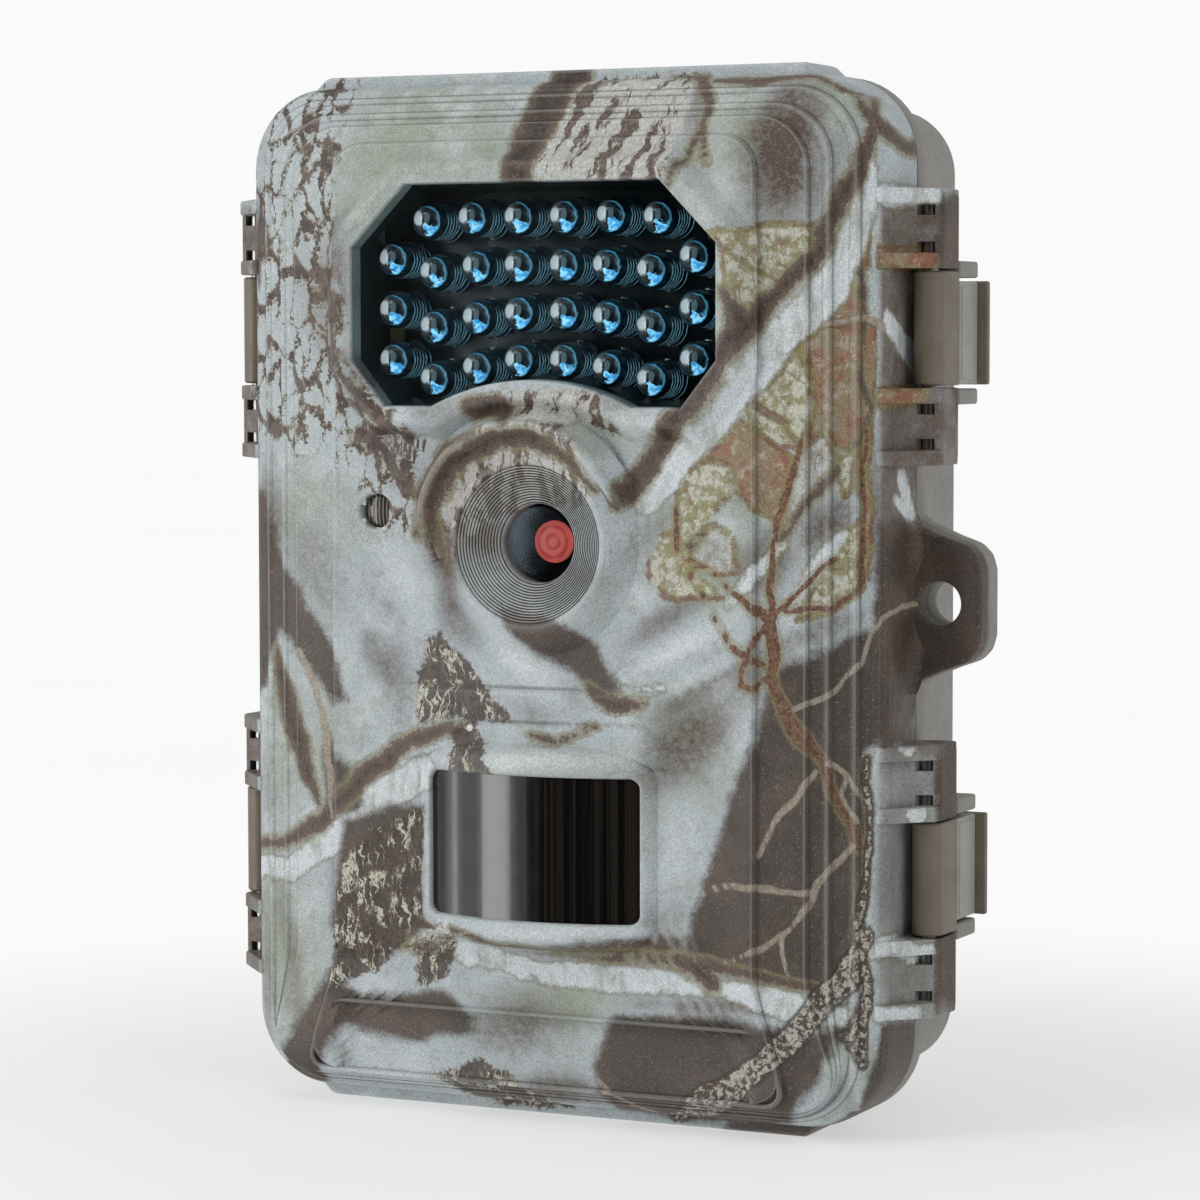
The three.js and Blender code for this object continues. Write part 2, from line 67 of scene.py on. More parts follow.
# ---- driving dimensions ----
RIM_W, RIM_H, RIM_R = 48.0, 70.2, 11.5
HALF_H = 71.6
RIDGE_W = 37.0
COVER_BACK = 11.0
REAR_FRONT = 11.4
FLANGE_BACK = 14.7
BODY_W, BODY_H, BODY_BACK = 44.4, 67.4, 37.5
HUMP_BACK = 45.0
BACK = 52.6
PLATEAU = -6.2
LENS_Z, LENS_HOLE_R = 7.7, 11.5
BROW_X, BROW_Z, BROW_SQUASH = -1.2, 9.6, 0.98
PIR_Z = -33.3
PIR_R = 37.4
PIR_W, PIR_H = 15.8, 9.9
PIN_X, PIN_Y = 51.2, 7.8
KNUCKLE_R = 2.15
EAR_BACK = 12.6
EAR_BANDS = [(18.5, 28.7), (44.4, 54.9)]
RIB_T = 2.0
CLIP_LOW, CLIP_HIGH = 29.0, 44.1
HOLE_X, HOLE_R = 51.8, 2.95
TAB_OUT = 57.59
PLATE_Z, PLATE_W, PLATE_H = -61.5, 31.2, 4.9
SENSOR_X, SENSOR_Z, SENSOR_R = -24.8, 11.7, 2.5
FACE_DOTS = [(-31.4, -49.0), (-9.5, -17.5)]
RIBS = 14
BOWL_INNER_R, BOWL_OUTER_R = 5.6, 10.6
RIB_PITCH = (BOWL_OUTER_R - BOWL_INNER_R) / RIBS
LAMP_ATTRIBUTES = ("lamp_x", "lamp_y", "lamp_z", "lamp_seed")
CRISP = 38  # degrees: sharper edges stay crisp


def place(points):
    """Design millimetres to the frame's metres."""
    return np.asarray(points, float) * MM + ORIGIN


# ---- camera ----
def make_camera():
    yaw, pitch, roll = (math.radians(a) for a in (25.582, 3.778, -0.099))
    distance = 536.69
    target = np.array([6.523, 0.0, -0.127])
    ahead = np.array([-math.sin(yaw) * math.cos(pitch), math.cos(yaw) * math.cos(pitch), -math.sin(pitch)])
    right = np.array([math.cos(yaw), math.sin(yaw), 0.0])
    up = np.cross(right, ahead)
    axis_x = math.cos(roll) * right + math.sin(roll) * up
    axis_y = math.cos(roll) * up - math.sin(roll) * right
    data = bpy.data.cameras.new("camera")
    data.sensor_width = 36.0
    data.lens = 118.65
    data.clip_start = 0.01
    camera = bpy.data.objects.new("camera", data)
    basis = Matrix((axis_x, axis_y, -ahead)).transposed()
    camera.matrix_world = Matrix.Translation(place(target - distance * ahead)) @ basis.to_4x4()
    bpy.context.scene.collection.objects.link(camera)
    bpy.context.scene.camera = camera


# ---- outlines ----
def rounded_rect(half_w, top, bottom, radius, per_corner, per_side, per_end):
    """Outline in X and Z, counter-clockwise seen from the front, always with the same count."""
    corners = [(1, -bottom, 1, -90), (1, top, -1, 0), (-1, top, -1, 90), (-1, -bottom, 1, 180)]

    def arc(corner, degrees):
        side, z, inward, turn = corner
        a = math.radians(turn + degrees)
        return side * (half_w - radius) + radius * math.cos(a), z + inward * radius + radius * math.sin(a)

    points = []
    for i, run in enumerate((per_side, per_end, per_side, per_end)):
        points += [arc(corners[i], 90 * k / per_corner) for k in range(per_corner + 1)]
        start, end = points[-1], arc(corners[(i + 1) % 4], 0)
        points += [(start[0] + t * (end[0] - start[0]), start[1] + t * (end[1] - start[1]))
                   for t in (k / run for k in range(1, run))]
    return np.array(points)


def offset_outline(points, distance):
    """A closed counter-clockwise outline moved outwards by distance, with mitred corners."""
    points = np.asarray(points, float)
    edge = np.roll(points, -1, 0) - points
    edge /= np.linalg.norm(edge, axis=1)[:, None]
    normal = np.stack([edge[:, 1], -edge[:, 0]], 1)
    before = np.roll(normal, 1, 0)
    mitre = normal + before
    mitre /= (mitre * normal).sum(1)[:, None]
    return points + distance * mitre


def resample(points, step):
    """The outline with extra points, no two further apart than step."""
    out = []
    for a, b in zip(points, np.roll(points, -1, 0)):
        n = max(1, math.ceil(np.linalg.norm(b - a) / step))
        out.extend(a + (b - a) * k / n for k in range(n))
    return np.array(out)


def across_and_back(half):
    """The right half of an outline, then its mirror image in reverse."""
    return half + [(-x, z) for x, z in reversed(half)]


def window_outline():
    """The lamp window: an octagon whose lower edge arches up over the lens."""
    side = [(22.2, 26.1), (27.3, 32.4), (27.3, 47.8), (19.0, 56.3)]
    radius = 33.0
    half = math.asin(15.0 / radius)
    arc = [(radius * math.sin(half * t), 26.1 + radius * (math.cos(half * t) - math.cos(half)))
           for t in np.linspace(-1, 1, 25)]
    return resample(np.array(arc + across_and_back(side)), 0.6)


# ---- meshes ----
def loft(rings, close=True):
    """Quads between rings of equal count. close joins the last point of a ring to its first."""
    rings = [np.asarray(r, float) for r in rings]
    n = len(rings[0])
    last = n if close else n - 1
    k = np.arange(last)
    faces = []
    for i in range(len(rings) - 1):
        a, b = i * n + k, i * n + (k + 1) % n
        faces.append(np.stack([a, b, b + n, a + n], 1))
    return np.concatenate(rings), np.concatenate(faces)


def with_y(outline, y):
    """Points in X and Z, at depth y, which may be one number or one per point."""
    outline = np.asarray(outline, float)
    return np.stack([outline[:, 0], np.broadcast_to(y, len(outline)), outline[:, 1]], 1)


def lathe_y(profile, x, z, steps):
    """Profile of (radius, y) turned about a line along Y."""
    a = np.linspace(0, 2 * math.pi, steps, endpoint=False)
    return loft([np.stack([x + r * np.cos(a), np.full(steps, y), z + r * np.sin(a)], 1) for r, y in profile])


def prism_z(outline, low, high):
    """Outline in X and Y, solid from z low to high, as (vertices, faces) with end faces."""
    n = len(outline)
    bottom = [(x, y, low) for x, y in outline]
    top = [(x, y, high) for x, y in outline]
    sides = [(k, (k + 1) % n, n + (k + 1) % n, n + k) for k in range(n)]
    return bottom + top, sides + [tuple(range(n - 1, -1, -1)), tuple(range(n, 2 * n))]


def prism_y(outline, front, back):
    """Outline in X and Z, solid from y front to back."""
    points, faces = prism_z([(x, z) for x, z in outline], front, back)
    return [(x, y, z) for x, z, y in points], faces


def box(x0, x1, y0, y1, z0, z1):
    return prism_z([(x0, y0), (x1, y0), (x1, y1), (x0, y1)], z0, z1)


def rounded(solid, bevel, max_edge=None, segments=3):
    """A solid with rounded edges, and with its faces split until no edge is over max_edge."""
    points, faces = solid
    bm = bmesh.new()
    verts = [bm.verts.new(p) for p in points]
    for f in faces:
        bm.faces.new([verts[i] for i in f])
    bmesh.ops.recalc_face_normals(bm, faces=bm.faces)
    if bevel:
        sharp = [e for e in bm.edges if e.calc_face_angle(0) > math.radians(24)]
        bmesh.ops.bevel(bm, geom=sharp, offset=bevel, segments=segments, profile=0.5,
                        affect="EDGES", clamp_overlap=True)
    bmesh.ops.triangulate(bm, faces=[f for f in bm.faces if len(f.verts) > 4])
    for _ in range(6 if max_edge else 0):
        long_edges = [e for e in bm.edges if e.calc_length() > max_edge]
        if not long_edges:
            break
        bmesh.ops.subdivide_edges(bm, edges=long_edges, cuts=1, use_grid_fill=True)
        bmesh.ops.triangulate(bm, faces=[f for f in bm.faces if len(f.verts) > 4])
    bm.verts.index_update()
    out = (np.array([v.co for v in bm.verts]), [[v.index for v in f.verts] for f in bm.faces])
    bm.free()
    return out


def merged(parts):
    """Several (vertices, faces) pairs as one."""
    points, faces, base = [], [], 0
    for p, f in parts:
        points.append(np.asarray(p, float))
        faces.extend([[int(i) + base for i in face] for face in f])
        base += len(p)
    return np.concatenate(points), faces


def mirrored(part):
    points, faces = part
    return np.array(points, float) * (-1, 1, 1), [list(f)[::-1] for f in faces]


def smooth_by_angle(mesh, angle):
    """Smooth shading, with the edges that bend more than angle kept crisp."""
    mesh.polygons.foreach_set("use_smooth", [True] * len(mesh.polygons))
    bm = bmesh.new()
    bm.from_mesh(mesh)
    limit = math.radians(angle)
    for e in bm.edges:
        e.smooth = not (len(e.link_faces) == 2 and e.calc_face_angle(0) > limit)
    bm.to_mesh(mesh)
    bm.free()


def piece(name, part, material, body, outward=None, crisp=CRISP, stands_for=None):
    """A named object from (vertices, faces) in design millimetres, riding on a body."""
    points, faces = part
    mesh = bpy.data.meshes.new(name)
    mesh.from_pydata(place(points).tolist(), [], [list(map(int, f)) for f in faces])
    bm = bmesh.new()
    bm.from_mesh(mesh)
    bmesh.ops.remove_doubles(bm, verts=bm.verts, dist=1e-7)
    bmesh.ops.recalc_face_normals(bm, faces=bm.faces)
    if outward is not None:
        facing = sum((f.normal.dot(outward) * f.calc_area() for f in bm.faces), 0.0)
        if facing < 0:
            bmesh.ops.reverse_faces(bm, faces=bm.faces)
    bm.to_mesh(mesh)
    bm.free()
    smooth_by_angle(mesh, crisp)
    obj = bpy.data.objects.new(name, mesh)
    bpy.context.scene.collection.objects.link(obj)
    mesh.materials.append(material)
    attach(obj, body)
    if stands_for:
        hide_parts(stands_for)
    return obj


# ---- camouflage: listed shapes, in X and Z on the front face ----
# strokes are (points, half widths); fields are outlines; the material breaks up their edges
DARK_STROKES = [
    ([(1.4, 74), (0.8, 68), (-1.2, 62), (-1.8, 55)], [3.3, 3.1, 2.7, 2.2]),
    ([(49, 66), (44.6, 58), (42, 51), (40, 47), (36, 43), (32.6, 39), (29.6, 34.6), (26.4, 30), (22.6, 25.6),
     (18.6, 21.4), (14, 15.2), (12.6, 13)], [0.9, 1.0, 1.0, 1.2, 1.2, 1.3, 1.7, 1.8, 1.9, 1.7, 1.4, 0.6]),
    ([(-42.6, -8.5), (-41, -14.5), (-38, -21.5), (-34.6, -29.5)], [0.5, 1.9, 2.1, 0.4]),
    ([(-49, -36.6), (-42, -35), (-35, -32.2), (-28, -26), (-22, -20.6), (-16, -18.6), (-9, -17.8)],
     [0.5, 0.7, 1.1, 1.3, 1.2, 1.0, 0.5]), ([(21, 72), (24, 66.5), (23.2, 61.5), (20.6, 56)], [1.0, 0.6, 0.5, 0.35]),
    ([(23.6, 64), (25.2, 58.6)], [0.5, 0.35]),
    ([(24, 70.8), (31, 69.8), (38, 70.6), (44, 67.4), (49, 63)], [0.6, 1.1, 0.5, 0.6, 1.0]),
    ([(46, 66), (50, 62.4), (55, 60.6), (62, 60.2)], [0.5, 1.3, 1.2, 0.9]),
    ([(-9, 26.4), (-5, 26.8), (-2.6, 24.4)], [1.5, 1.6, 0.5]),
    ([(-17.5, 9), (-17.6, 14), (-14, 20), (-8, 23.2)], [1.3, 1.1, 0.8, 0.4]),
    ([(44.9, 43), (44.8, 36), (45, 30), (46.4, 26), (44, 21)], [0.35, 0.35, 0.35, 0.4, 0.35]),
    ([(28, 41.6), (30.4, 37.6)], [0.4, 1.3]), ([(42, 18.8), (39.4, 15), (37.2, 12), (34.8, 9)], [0.4, 0.7, 0.5, 0.4]),
    ([(22.6, 7.6), (25, 9.8)], [0.7, 0.45]),
    # this arc along the lens brow is painted shadow under the brow
    ([(-13.6, 6), (-14, 13), (-10.6, 18.6), (-5, 21.8), (1, 22), (6.6, 19.4), (10, 15.6)],
     [0.6, 1.3, 1.5, 1.5, 1.2, 0.7, 0.34]), ([(8, -11.6), (12, -13.4), (16.6, -13.6)], [0.6, 1.3, 0.4]),
    ([(0, -18.2), (4, -18.8), (9, -16.6)], [0.35, 0.5, 0.4]),
    ([(-12, -45.4), (-3, -46.8), (6, -48), (16, -47.8), (24, -48), (34, -49.4), (41, -51)],
     [0.35, 0.4, 0.5, 0.5, 0.9, 0.6, 0.5]), ([(24, -48.6), (26.4, -51)], [1.0, 0.8]),
    ([(-22, -44.6), (-19, -48.4), (-14, -49.6)], [0.4, 0.6, 0.4]),
    ([(46.4, -20), (46.2, -34), (45.2, -42), (46.4, -50), (44.6, -57)], [0.55, 0.6, 0.6, 0.7, 0.6]),
]
# fields with soft edges
DUSK_FIELDS = [
    [(35, -8.4), (44, -3), (50, -2), (50, -17), (46, -19), (46, -50), (42, -51), (30, -49), (22.4, -47.6),
     (23.2, -42), (25.2, -36), (28.4, -26.8), (30, -22.8), (33.2, -14)],
    [(48, 11), (54, 12), (60, 9.6), (72, 8), (72, -9), (61, -13), (56, -19), (49, -18), (47, -4)],
    [(49, -55.6), (70, -55.6), (70, -90), (16, -92), (24, -72.6), (40, -71.6), (46, -67.4)],
    [(12, -56), (26, -55), (38, -56), (44, -55.6), (40.6, -62), (35, -70), (28, -73), (9, -73), (8, -62)],
    [(-33, -52), (-28, -56), (-14, -54), (-9, -59), (-20, -62), (-31, -60), (-36, -70), (-46, -73), (-40, -62)],
    [(-5, -0.6), (4, -2.4), (9, -6), (13, -11), (9.6, -13), (4, -9.4), (-2, -5)],
    [(-62, 15), (-46, 14), (-43, 8), (-44.4, -2), (-47, -6), (-62, -6)],
    [(-46.4, 56), (-44.6, 50), (-47, 42), (-50, 48)], [(60.4, 54), (72, 55), (72, 26), (66, 25), (60.4, 44)],
    [(60.4, -18), (72, -18), (72, -56), (60.4, -52)], [(-30, -31), (-17, -28), (-17, -46), (-26, -52), (-33, -46)],
    [(-50, 12), (-45, 9), (-41.7, 4.6), (-37.1, 0.9), (-35.7, -3), (-33.1, -6.7), (-30.5, -10), (-29.8, -14.2),
     (-32.4, -15.3), (-36.4, -11), (-39.7, -6.7), (-42.4, -5.6), (-44, -10.4), (-45.7, -14.2), (-50, -15.3)],
    [(-33.4, -18.5), (-30.5, -22.8), (-26.8, -27.1), (-27.5, -29.8), (-33.1, -30.3), (-33.4, -25)],
]
MARKED_FIELDS = [
    [(-30.5, -37), (-26, -32.4), (-17, -28.6), (-17, -44.6), (-21, -47), (-24, -52), (-33, -55), (-31.8, -44)],
    [(-15.4, -3.4), (-12.6, -6.2), (-8.6, -10.6), (-2.8, -16.4), (-10, -16.8), (-17.9, -16.9), (-18.5, -10.6),
     (-16.4, -5.7)], [(-12, -17.5), (-8.6, -17), (-4, -23.6), (-9, -24), (-12.4, -23.4)],
    [(-16, -66), (-10, -63), (-2, -66.4), (2, -73), (-10, -74)], [(-18, -47), (-12, -46.6), (-14, -53), (-19, -54)],
]
PALE_STROKES = [
    ([(46.4, 60), (45.6, 53), (43.6, 46), (40, 40.4), (34, 34), (28, 26.8), (22, 20), (16, 13.4)],
     [0.5, 1.5, 2.0, 2.1, 2.3, 2.4, 2.5, 1.8]),
    ([(-49, -40), (-40, -38.6), (-33, -34.4), (-27, -29), (-17, -23.6)], [1.2, 1.6, 1.9, 2.3, 2.2]),
    ([(-16, -47.6), (-8, -48.8), (0, -51), (12, -50.8), (25, -50.4)], [0.6, 1.6, 1.4, 1.7, 1.2]),
    ([(27.4, -51.4), (34, -52.4), (43, -54.4)], [0.8, 1.8, 1.1]), ([(50, 37.4), (54, 34.8), (60, 32)], [1.3, 1.6, 1.9]),
    ([(35, 8.6), (32, 4.8), (28.6, 0)], [0.6, 0.8, 0.5]), ([(43, 9.4), (40, 5), (36, 0.4)], [0.5, 0.9, 0.5]),
    ([(54, 17), (57.6, 12.4), (52, 14)], [1.2, 1.2, 0.5]), ([(54, -18), (56.4, -15), (57, -12.6)], [1.8, 1.9, 0.8]),
    ([(48, -45.6), (59, -45.6)], [1.3, 1.3]), ([(48, -54), (56, -54)], [1.2, 1.0]),
    ([(48, 54.2), (60, 53.8)], [1.1, 1.0]), ([(55, -27.6), (57, -27.6)], [1.0, 1.0]),
    ([(0, 25.6), (7, 24.6)], [1.2, 0.5]), ([(10, -9.6), (15, -12.4), (19, -11.6)], [0.35, 0.5, 0.35]),
]
BARK_FIELDS = [
    ([(-52, 74), (-31, 74), (-30.6, 60), (-31, 52), (-30, 46), (-30, 30), (-24.5, 24), (-14.5, 21), (-17, 10),
     (-22, 8), (-29, 16), (-36, 19), (-52, 24)], 84),
    ([(-34, 50), (-28.4, 42), (-28.4, 32), (-22, 26), (-16, 20), (-19, 12), (-27, 21), (-33, 33)], 116),
]
GRAIN_FIELDS = [
    ([(3.6, 73), (22, 73), (20.5, 64), (19.5, 55.4), (0.6, 55.4), (1.6, 62)], 74),
    ([(-3.6, 28.6), (11, 28.2), (13, 22.5), (8, 23.6), (2, 24.6), (-3, 25.4)], 70),
    ([(-21, -44.6), (-12, -45.2), (-13, -48), (-20, -49.5)], 10),
    ([(-10.5, 8), (-13.5, 13), (-12, 19), (-7, 24), (5, 24), (9, 20), (10.4, 15), (6.6, 12.6), (0, 13.6),
     (-5, 11.4)], 84),
]
RUST_LEAVES = [
    [(43.2, 42.2), (44.6, 41.8), (45, 37.4), (40, 37.2), (41.6, 39.8)],
    [(39.6, 36.6), (45, 36.6), (47, 37), (47.4, 31.4), (46.8, 25.4), (44.2, 20.6), (41.6, 21), (40.4, 23.4),
     (38, 21.4), (39.4, 29), (38.4, 31), (36.8, 33)],
    [(29.6, 24.2), (33, 22), (36.8, 19.4), (34.6, 11.4), (31, 12.6), (29.2, 18.6), (25.2, 19)],
    [(43.8, 22), (46.4, 24), (47, 12), (46.4, 4), (44.8, 4), (45.4, 14)],
    [(44, 57), (46.6, 60), (46.4, 44), (44.4, 43.4), (45.2, 50)], [(48, 47), (60, 46.8), (60, 44.2), (48, 44.2)],
    [(47.6, 28.6), (58, 28.6), (57, 26.4), (47.6, 26.4)],
]
OLIVE_LEAVES = [
    [(26, 49.4), (33, 50.6), (40, 50.2), (38.4, 45.8), (35.2, 42.2), (30, 46)],
    [(27.6, 47.6), (30, 46), (35.2, 42.2), (33.6, 39.4), (30.8, 37.4), (28.4, 40.6)],
    [(32, 28.2), (37.6, 33.4), (38.6, 31), (39.4, 28), (38.4, 23.8), (37.2, 21), (35.6, 24.2), (33.2, 25.8),
     (31.4, 27)], [(31.2, 26.2), (35.6, 23.8), (37.2, 21), (34, 21), (30.8, 23.4)],
    [(20.8, 14.6), (24.8, 18.6), (29.2, 18.6), (29, 14.6), (25, 10.8), (22.4, 7.4), (20.2, 9.8)],
    [(18.4, 8.6), (21.4, 9.6), (23, 4), (28, 1), (19.6, 0.6), (17, 4)],
    [(42.4, 9), (45.2, 11.4), (45.4, 3), (41, -1), (36.6, -2), (40, 4.6)],
    [(41.4, 19.4), (44.4, 20.6), (44.4, 15.6), (43, 14.4)],
]
GREY_LEAVES = [
    [(37.6, 21.4), (40.4, 23), (42, 19.4), (38.4, 13.8), (34.6, 9.8), (34.8, 14.4)],
    [(22.6, 6.4), (25.4, 11), (29, 9), (30, 5), (26, 4.2)],
]
BROWN_TWIGS = [
    ([(33.2, -1), (34.4, -6), (34, -9.6), (36, -14), (38, -17.6), (40.4, -20.4), (41.2, -24), (43.2, -28.4),
     (44.8, -32)], [0.6, 0.9, 0.65, 0.65, 0.8, 0.5, 0.5, 0.65, 0.4]),
    ([(20.2, 13), (20.8, 7.8), (22.4, 3.8), (26, -1.2), (28.8, -4.8), (32.6, -7.8)], [0.4, 0.42, 0.42, 0.4, 0.4, 0.36]),
    ([(33.2, -1.6), (30.8, -6.8), (30.4, -10.4), (32.4, -11.2), (33.8, -9.2)], [0.4, 0.36, 0.36, 0.36, 0.36]),
    ([(37.6, 21.8), (36, 17), (34.4, 11.8), (33.6, 7), (33.2, -1)], [0.36, 0.38, 0.4, 0.42, 0.5]),
    ([(30, 1.6), (32.6, -1.4)], [0.36, 0.4]), ([(33.6, -1.2), (37.2, 2), (42, 6)], [0.4, 0.36, 0.34]),
    ([(35.2, -0.8), (41.2, -0.4), (44, 2), (45.6, 5)], [0.36, 0.36, 0.34, 0.34]),
    ([(22.4, 5.8), (26, 4.6), (29.2, 2.2), (32, -1)], [0.36, 0.36, 0.36, 0.34]),
    ([(45.2, 23), (45.8, 17), (45.2, 9), (45.4, 3.8)], [0.34, 0.36, 0.36, 0.34]),
]
PALE_TWIGS = [
    ([(37, -13.4), (42, -10), (44.8, -7.2), (46.4, -3.2), (49, -1.4), (55, -0.8), (59.4, -0.4)],
     [0.38, 0.4, 0.4, 0.4, 0.4, 0.4, 0.34]), ([(39.2, -21.2), (36.4, -26.4), (32.4, -33.2)], [0.36, 0.42, 0.34]),
    ([(40.8, -20.4), (43.6, -22), (45.6, -25.6)], [0.36, 0.42, 0.36]),
    ([(43.6, -22), (42.6, -24.8), (44, -28.4)], [0.36, 0.34, 0.34]),
    ([(44, -31.6), (40, -37.2), (35.6, -43.2), (32.4, -45.6), (28, -47.6)], [0.4, 0.42, 0.42, 0.36, 0.34]),
    ([(39.6, -37.8), (33.2, -37.4), (27.2, -37.4), (24.4, -38.4)], [0.38, 0.38, 0.36, 0.34]),
    ([(35.6, -43.6), (36.2, -48.8)], [0.38, 0.34]), ([(8, -64.6), (12.6, -68.6), (18, -71.6)], [0.4, 0.45, 0.4]),
    ([(40, 37), (45.2, 37.4), (49, 36.6)], [0.4, 0.42, 0.6]),
    ([(-38, -8), (-33.8, -17), (-32.4, -24), (-32.6, -31)], [0.4, 0.6, 0.5, 0.34]),
]
BIRCH_TWIGS = [
    ([(46.6, -44), (43.4, -49), (38.4, -55.4), (32.4, -61.6), (26, -66), (17, -71.6)], [1.0, 1.3, 1.5, 1.6, 1.8, 1.5]),
    ([(46.4, -20), (46.2, -34), (45.2, -42), (46.2, -50), (44.4, -57), (45.6, -61)], [0.34, 0.4, 0.4, 0.7, 1.1, 0.4]),
]
# soft shading: blurred print shapes, with painted shade under the lens brow; centre, radii, turn in degrees, strength
# (below zero is brighter)
SOFT = [
    (35.2, 60, 5.2, 10, -4, 0.8), (22, 66, 1.6, 5, 0, 0.4), (26.6, 60, 2, 10, 0, -0.2), (42, 58, 2, 8, -20, 0.2),
    (-45, 7, 3.6, 9, 0, 0.75), (-35, 4, 4.4, 8, 30, 0.35), (-13.6, 8, 3.2, 9, 10, 0.8), (-6, 19.4, 9, 3.2, 10, 0.75),
    (-9, 12, 3, 6, 30, 0.5), (4, 2, 8, 3, 10, 0.3), (-4, 15.4, 6, 3.4, 20, 0.7), (-8, 9, 2, 4, 0, 0.5),
    (-22, 1, 3, 6, 30, 0.25), (-12, -3, 6, 3, -30, 0.35), (17, 9, 2, 5, -40, 0.3), (19, -2, 7, 1.6, 34, 0.5),
    (24, -11, 8, 1.5, 34, 0.4), (21, -19, 3.4, 8, -34, 0.6), (27, -17, 2.6, 9, -28, 0.35), (21, -33, 2.4, 9, -16, -0.4),
    (19.4, -42, 3, 5, -20, 0.4), (33, 6, 3.4, 4.6, -30, 0.6), (41, 11, 2.6, 4.6, -40, 0.6), (40, -3, 6, 1.8, 26, 0.4),
    (31, 15, 2, 3, 0, 0.3), (-42, -14, 2, 4, 0, 0.3), (-30, -10, 2.4, 4, 0, -0.3), (-25, -8, 2, 5, 30, 0.4),
    (-21, -12, 2.4, 7, 10, 0.35), (2, -14, 6, 2.6, 10, 0.25), (-31, -42, 2.4, 7, 10, 0.4), (-44, -28, 3, 8, 0, 0.15),
    (-40, -52, 2.0, 13, 14, 0.35), (-46, -56, 2, 10, 0, 0.3), (14, -46.6, 15, 1.5, 3, 0.75), (-4, -58, 8, 4, 8, 0.5),
    (2, -67, 7, 3, 0, 0.6), (-22, -66, 7, 3, 0, -0.35), (34, -9, 5, 4, -30, 0.4), (27, -53.4, 12, 1.4, 4, 0.6),
    (44.6, -63, 1.6, 8, 30, -0.5), (-38, 26, 3, 5, 0, -0.3), (-36, 42, 2.4, 8, 10, 0.3), (-31.4, 42, 3.4, 9, -6, 0.85),
    (-26, 28, 3, 8, 40, 0.7), (-22, 18, 2.6, 6, 50, 0.5), (-14, 26, 5, 2, 10, 0.3), (13, 27, 4, 1.6, -10, 0.3),
    (-46, 62, 2, 7, 0, 0.3), (49, 68, 3, 3, 0, 0.4), (50, -36, 3, 9, 0, 0.3), (47, 12, 2, 9, 0, 0.5),
    (52, 23, 3, 6, 0, 0.4), (21, -6, 8, 1.3, 28, -0.9), (24, -9.6, 6, 0.9, 30, -0.7), (-2.5, -8, 8.5, 2.2, -44, -0.8),
    (0, -21.2, 15, 1.8, 0, -0.7), (4, -44.6, 13, 1.1, 2, -0.8), (-20, 2, 3, 8, 30, -0.5), (16, 24, 3, 2, 0, -0.5),
    (-21, 25.6, 2.4, 1.2, -30, -0.6), (46, -30, 1.4, 12, 0, -0.3), (49, -20, 1.6, 5, 0, -0.4), (52, 52, 3, 2, 0, -0.4),
    (30, -62, 3, 6, 20, -0.1),
]
# pale green rather than pale blue: centre, radii, turn, strength
GREENISH = [
    (-17, 64, 13, 8, 0, 1.0), (28, 63, 6, 9, 0, 0.8), (-42, -49, 6, 13, 8, 1.2), (-42, -22, 5, 9, 0, 1.0),
    (-38, 12, 5, 5, 0, 0.8), (13, -30, 5, 12, -20, 0.5), (-26, 55, 6, 6, 45, 0.8), (3, 22, 14, 3, 0, 0.7),
    (2, -22, 12, 3, 0, 0.7), (-21, -34, 2, 8, 0, 0.5), (2, -55, 10, 3, 5, 0.9), (45, -62, 4, 8, 20, 1.0),
    (22, -16, 5, 7, -20, 0.6), (16, 45, 30, 12, 0, 0.4), (41, 66, 5, 5, 0, 0.8), (24, 8, 8, 8, 0, 0.8),
    (28, 44, 4, 6, 0, 0.6), (-33, -24, 3, 8, 0, 0.8), (54, -50, 5, 5, 0, 0.6), (54, 50, 5, 5, 0, 0.7),
]


def lattice_noise(p, size, seed):
    """Smooth value noise from -0.5 to 0.5."""
    q = p / size
    cell = np.floor(q)
    f = q - cell
    f = f * f * (3 - 2 * f)

    def corner(dx, dz):
        wave = np.sin((cell[:, 0] + dx) * 12.9898 + (cell[:, 1] + dz) * 78.233 + seed * 37.719) * 43758.5453
        return wave - np.floor(wave) - 0.5

    low = corner(0, 0) * (1 - f[:, 0]) + corner(1, 0) * f[:, 0]
    high = corner(0, 1) * (1 - f[:, 0]) + corner(1, 1) * f[:, 0]
    return low * (1 - f[:, 1]) + high * f[:, 1]


def waver(p):
    """The points shifted by soft noise, so that straight shape edges turn organic."""
    shift = sum(size * np.stack([lattice_noise(p, size * 2.6, seed), lattice_noise(p, size * 2.6, seed + 9)], 1)
                for size, seed in ((2.2, 1), (1.0, 2), (0.45, 3)))
    return p + 0.55 * shift


def segment_distances(p, a, b):
    ab = b - a
    t = np.clip(((p - a) @ ab) / (ab @ ab), 0, 1)
    return np.linalg.norm(p - a - t[:, None] * ab, axis=1), t


def strokes_distance(p, strokes):
    """Distance to the nearest stroke's edge, below zero inside it."""
    best = np.full(len(p), 99.0)
    for points, widths in strokes:
        points = np.asarray(points, float)
        for i in range(len(points) - 1):
            d, t = segment_distances(p, points[i], points[i + 1])
            best = np.minimum(best, d - (widths[i] + t * (widths[i + 1] - widths[i])))
    return best


def field_distance(p, outline):
    """Distance to a closed outline, below zero inside it."""
    outline = np.asarray(outline, float)
    best = np.full(len(p), 99.0)
    inside = np.zeros(len(p), bool)
    for a, b in zip(outline, np.roll(outline, -1, 0)):
        d, _ = segment_distances(p, a, b)
        best = np.minimum(best, d)
        crosses = (a[1] > p[:, 1]) != (b[1] > p[:, 1])
        rise = b[1] - a[1] if b[1] != a[1] else 1e-9
        inside ^= crosses & (p[:, 0] < a[0] + (p[:, 1] - a[1]) * (b[0] - a[0]) / rise)
    return np.where(inside, -best, best)


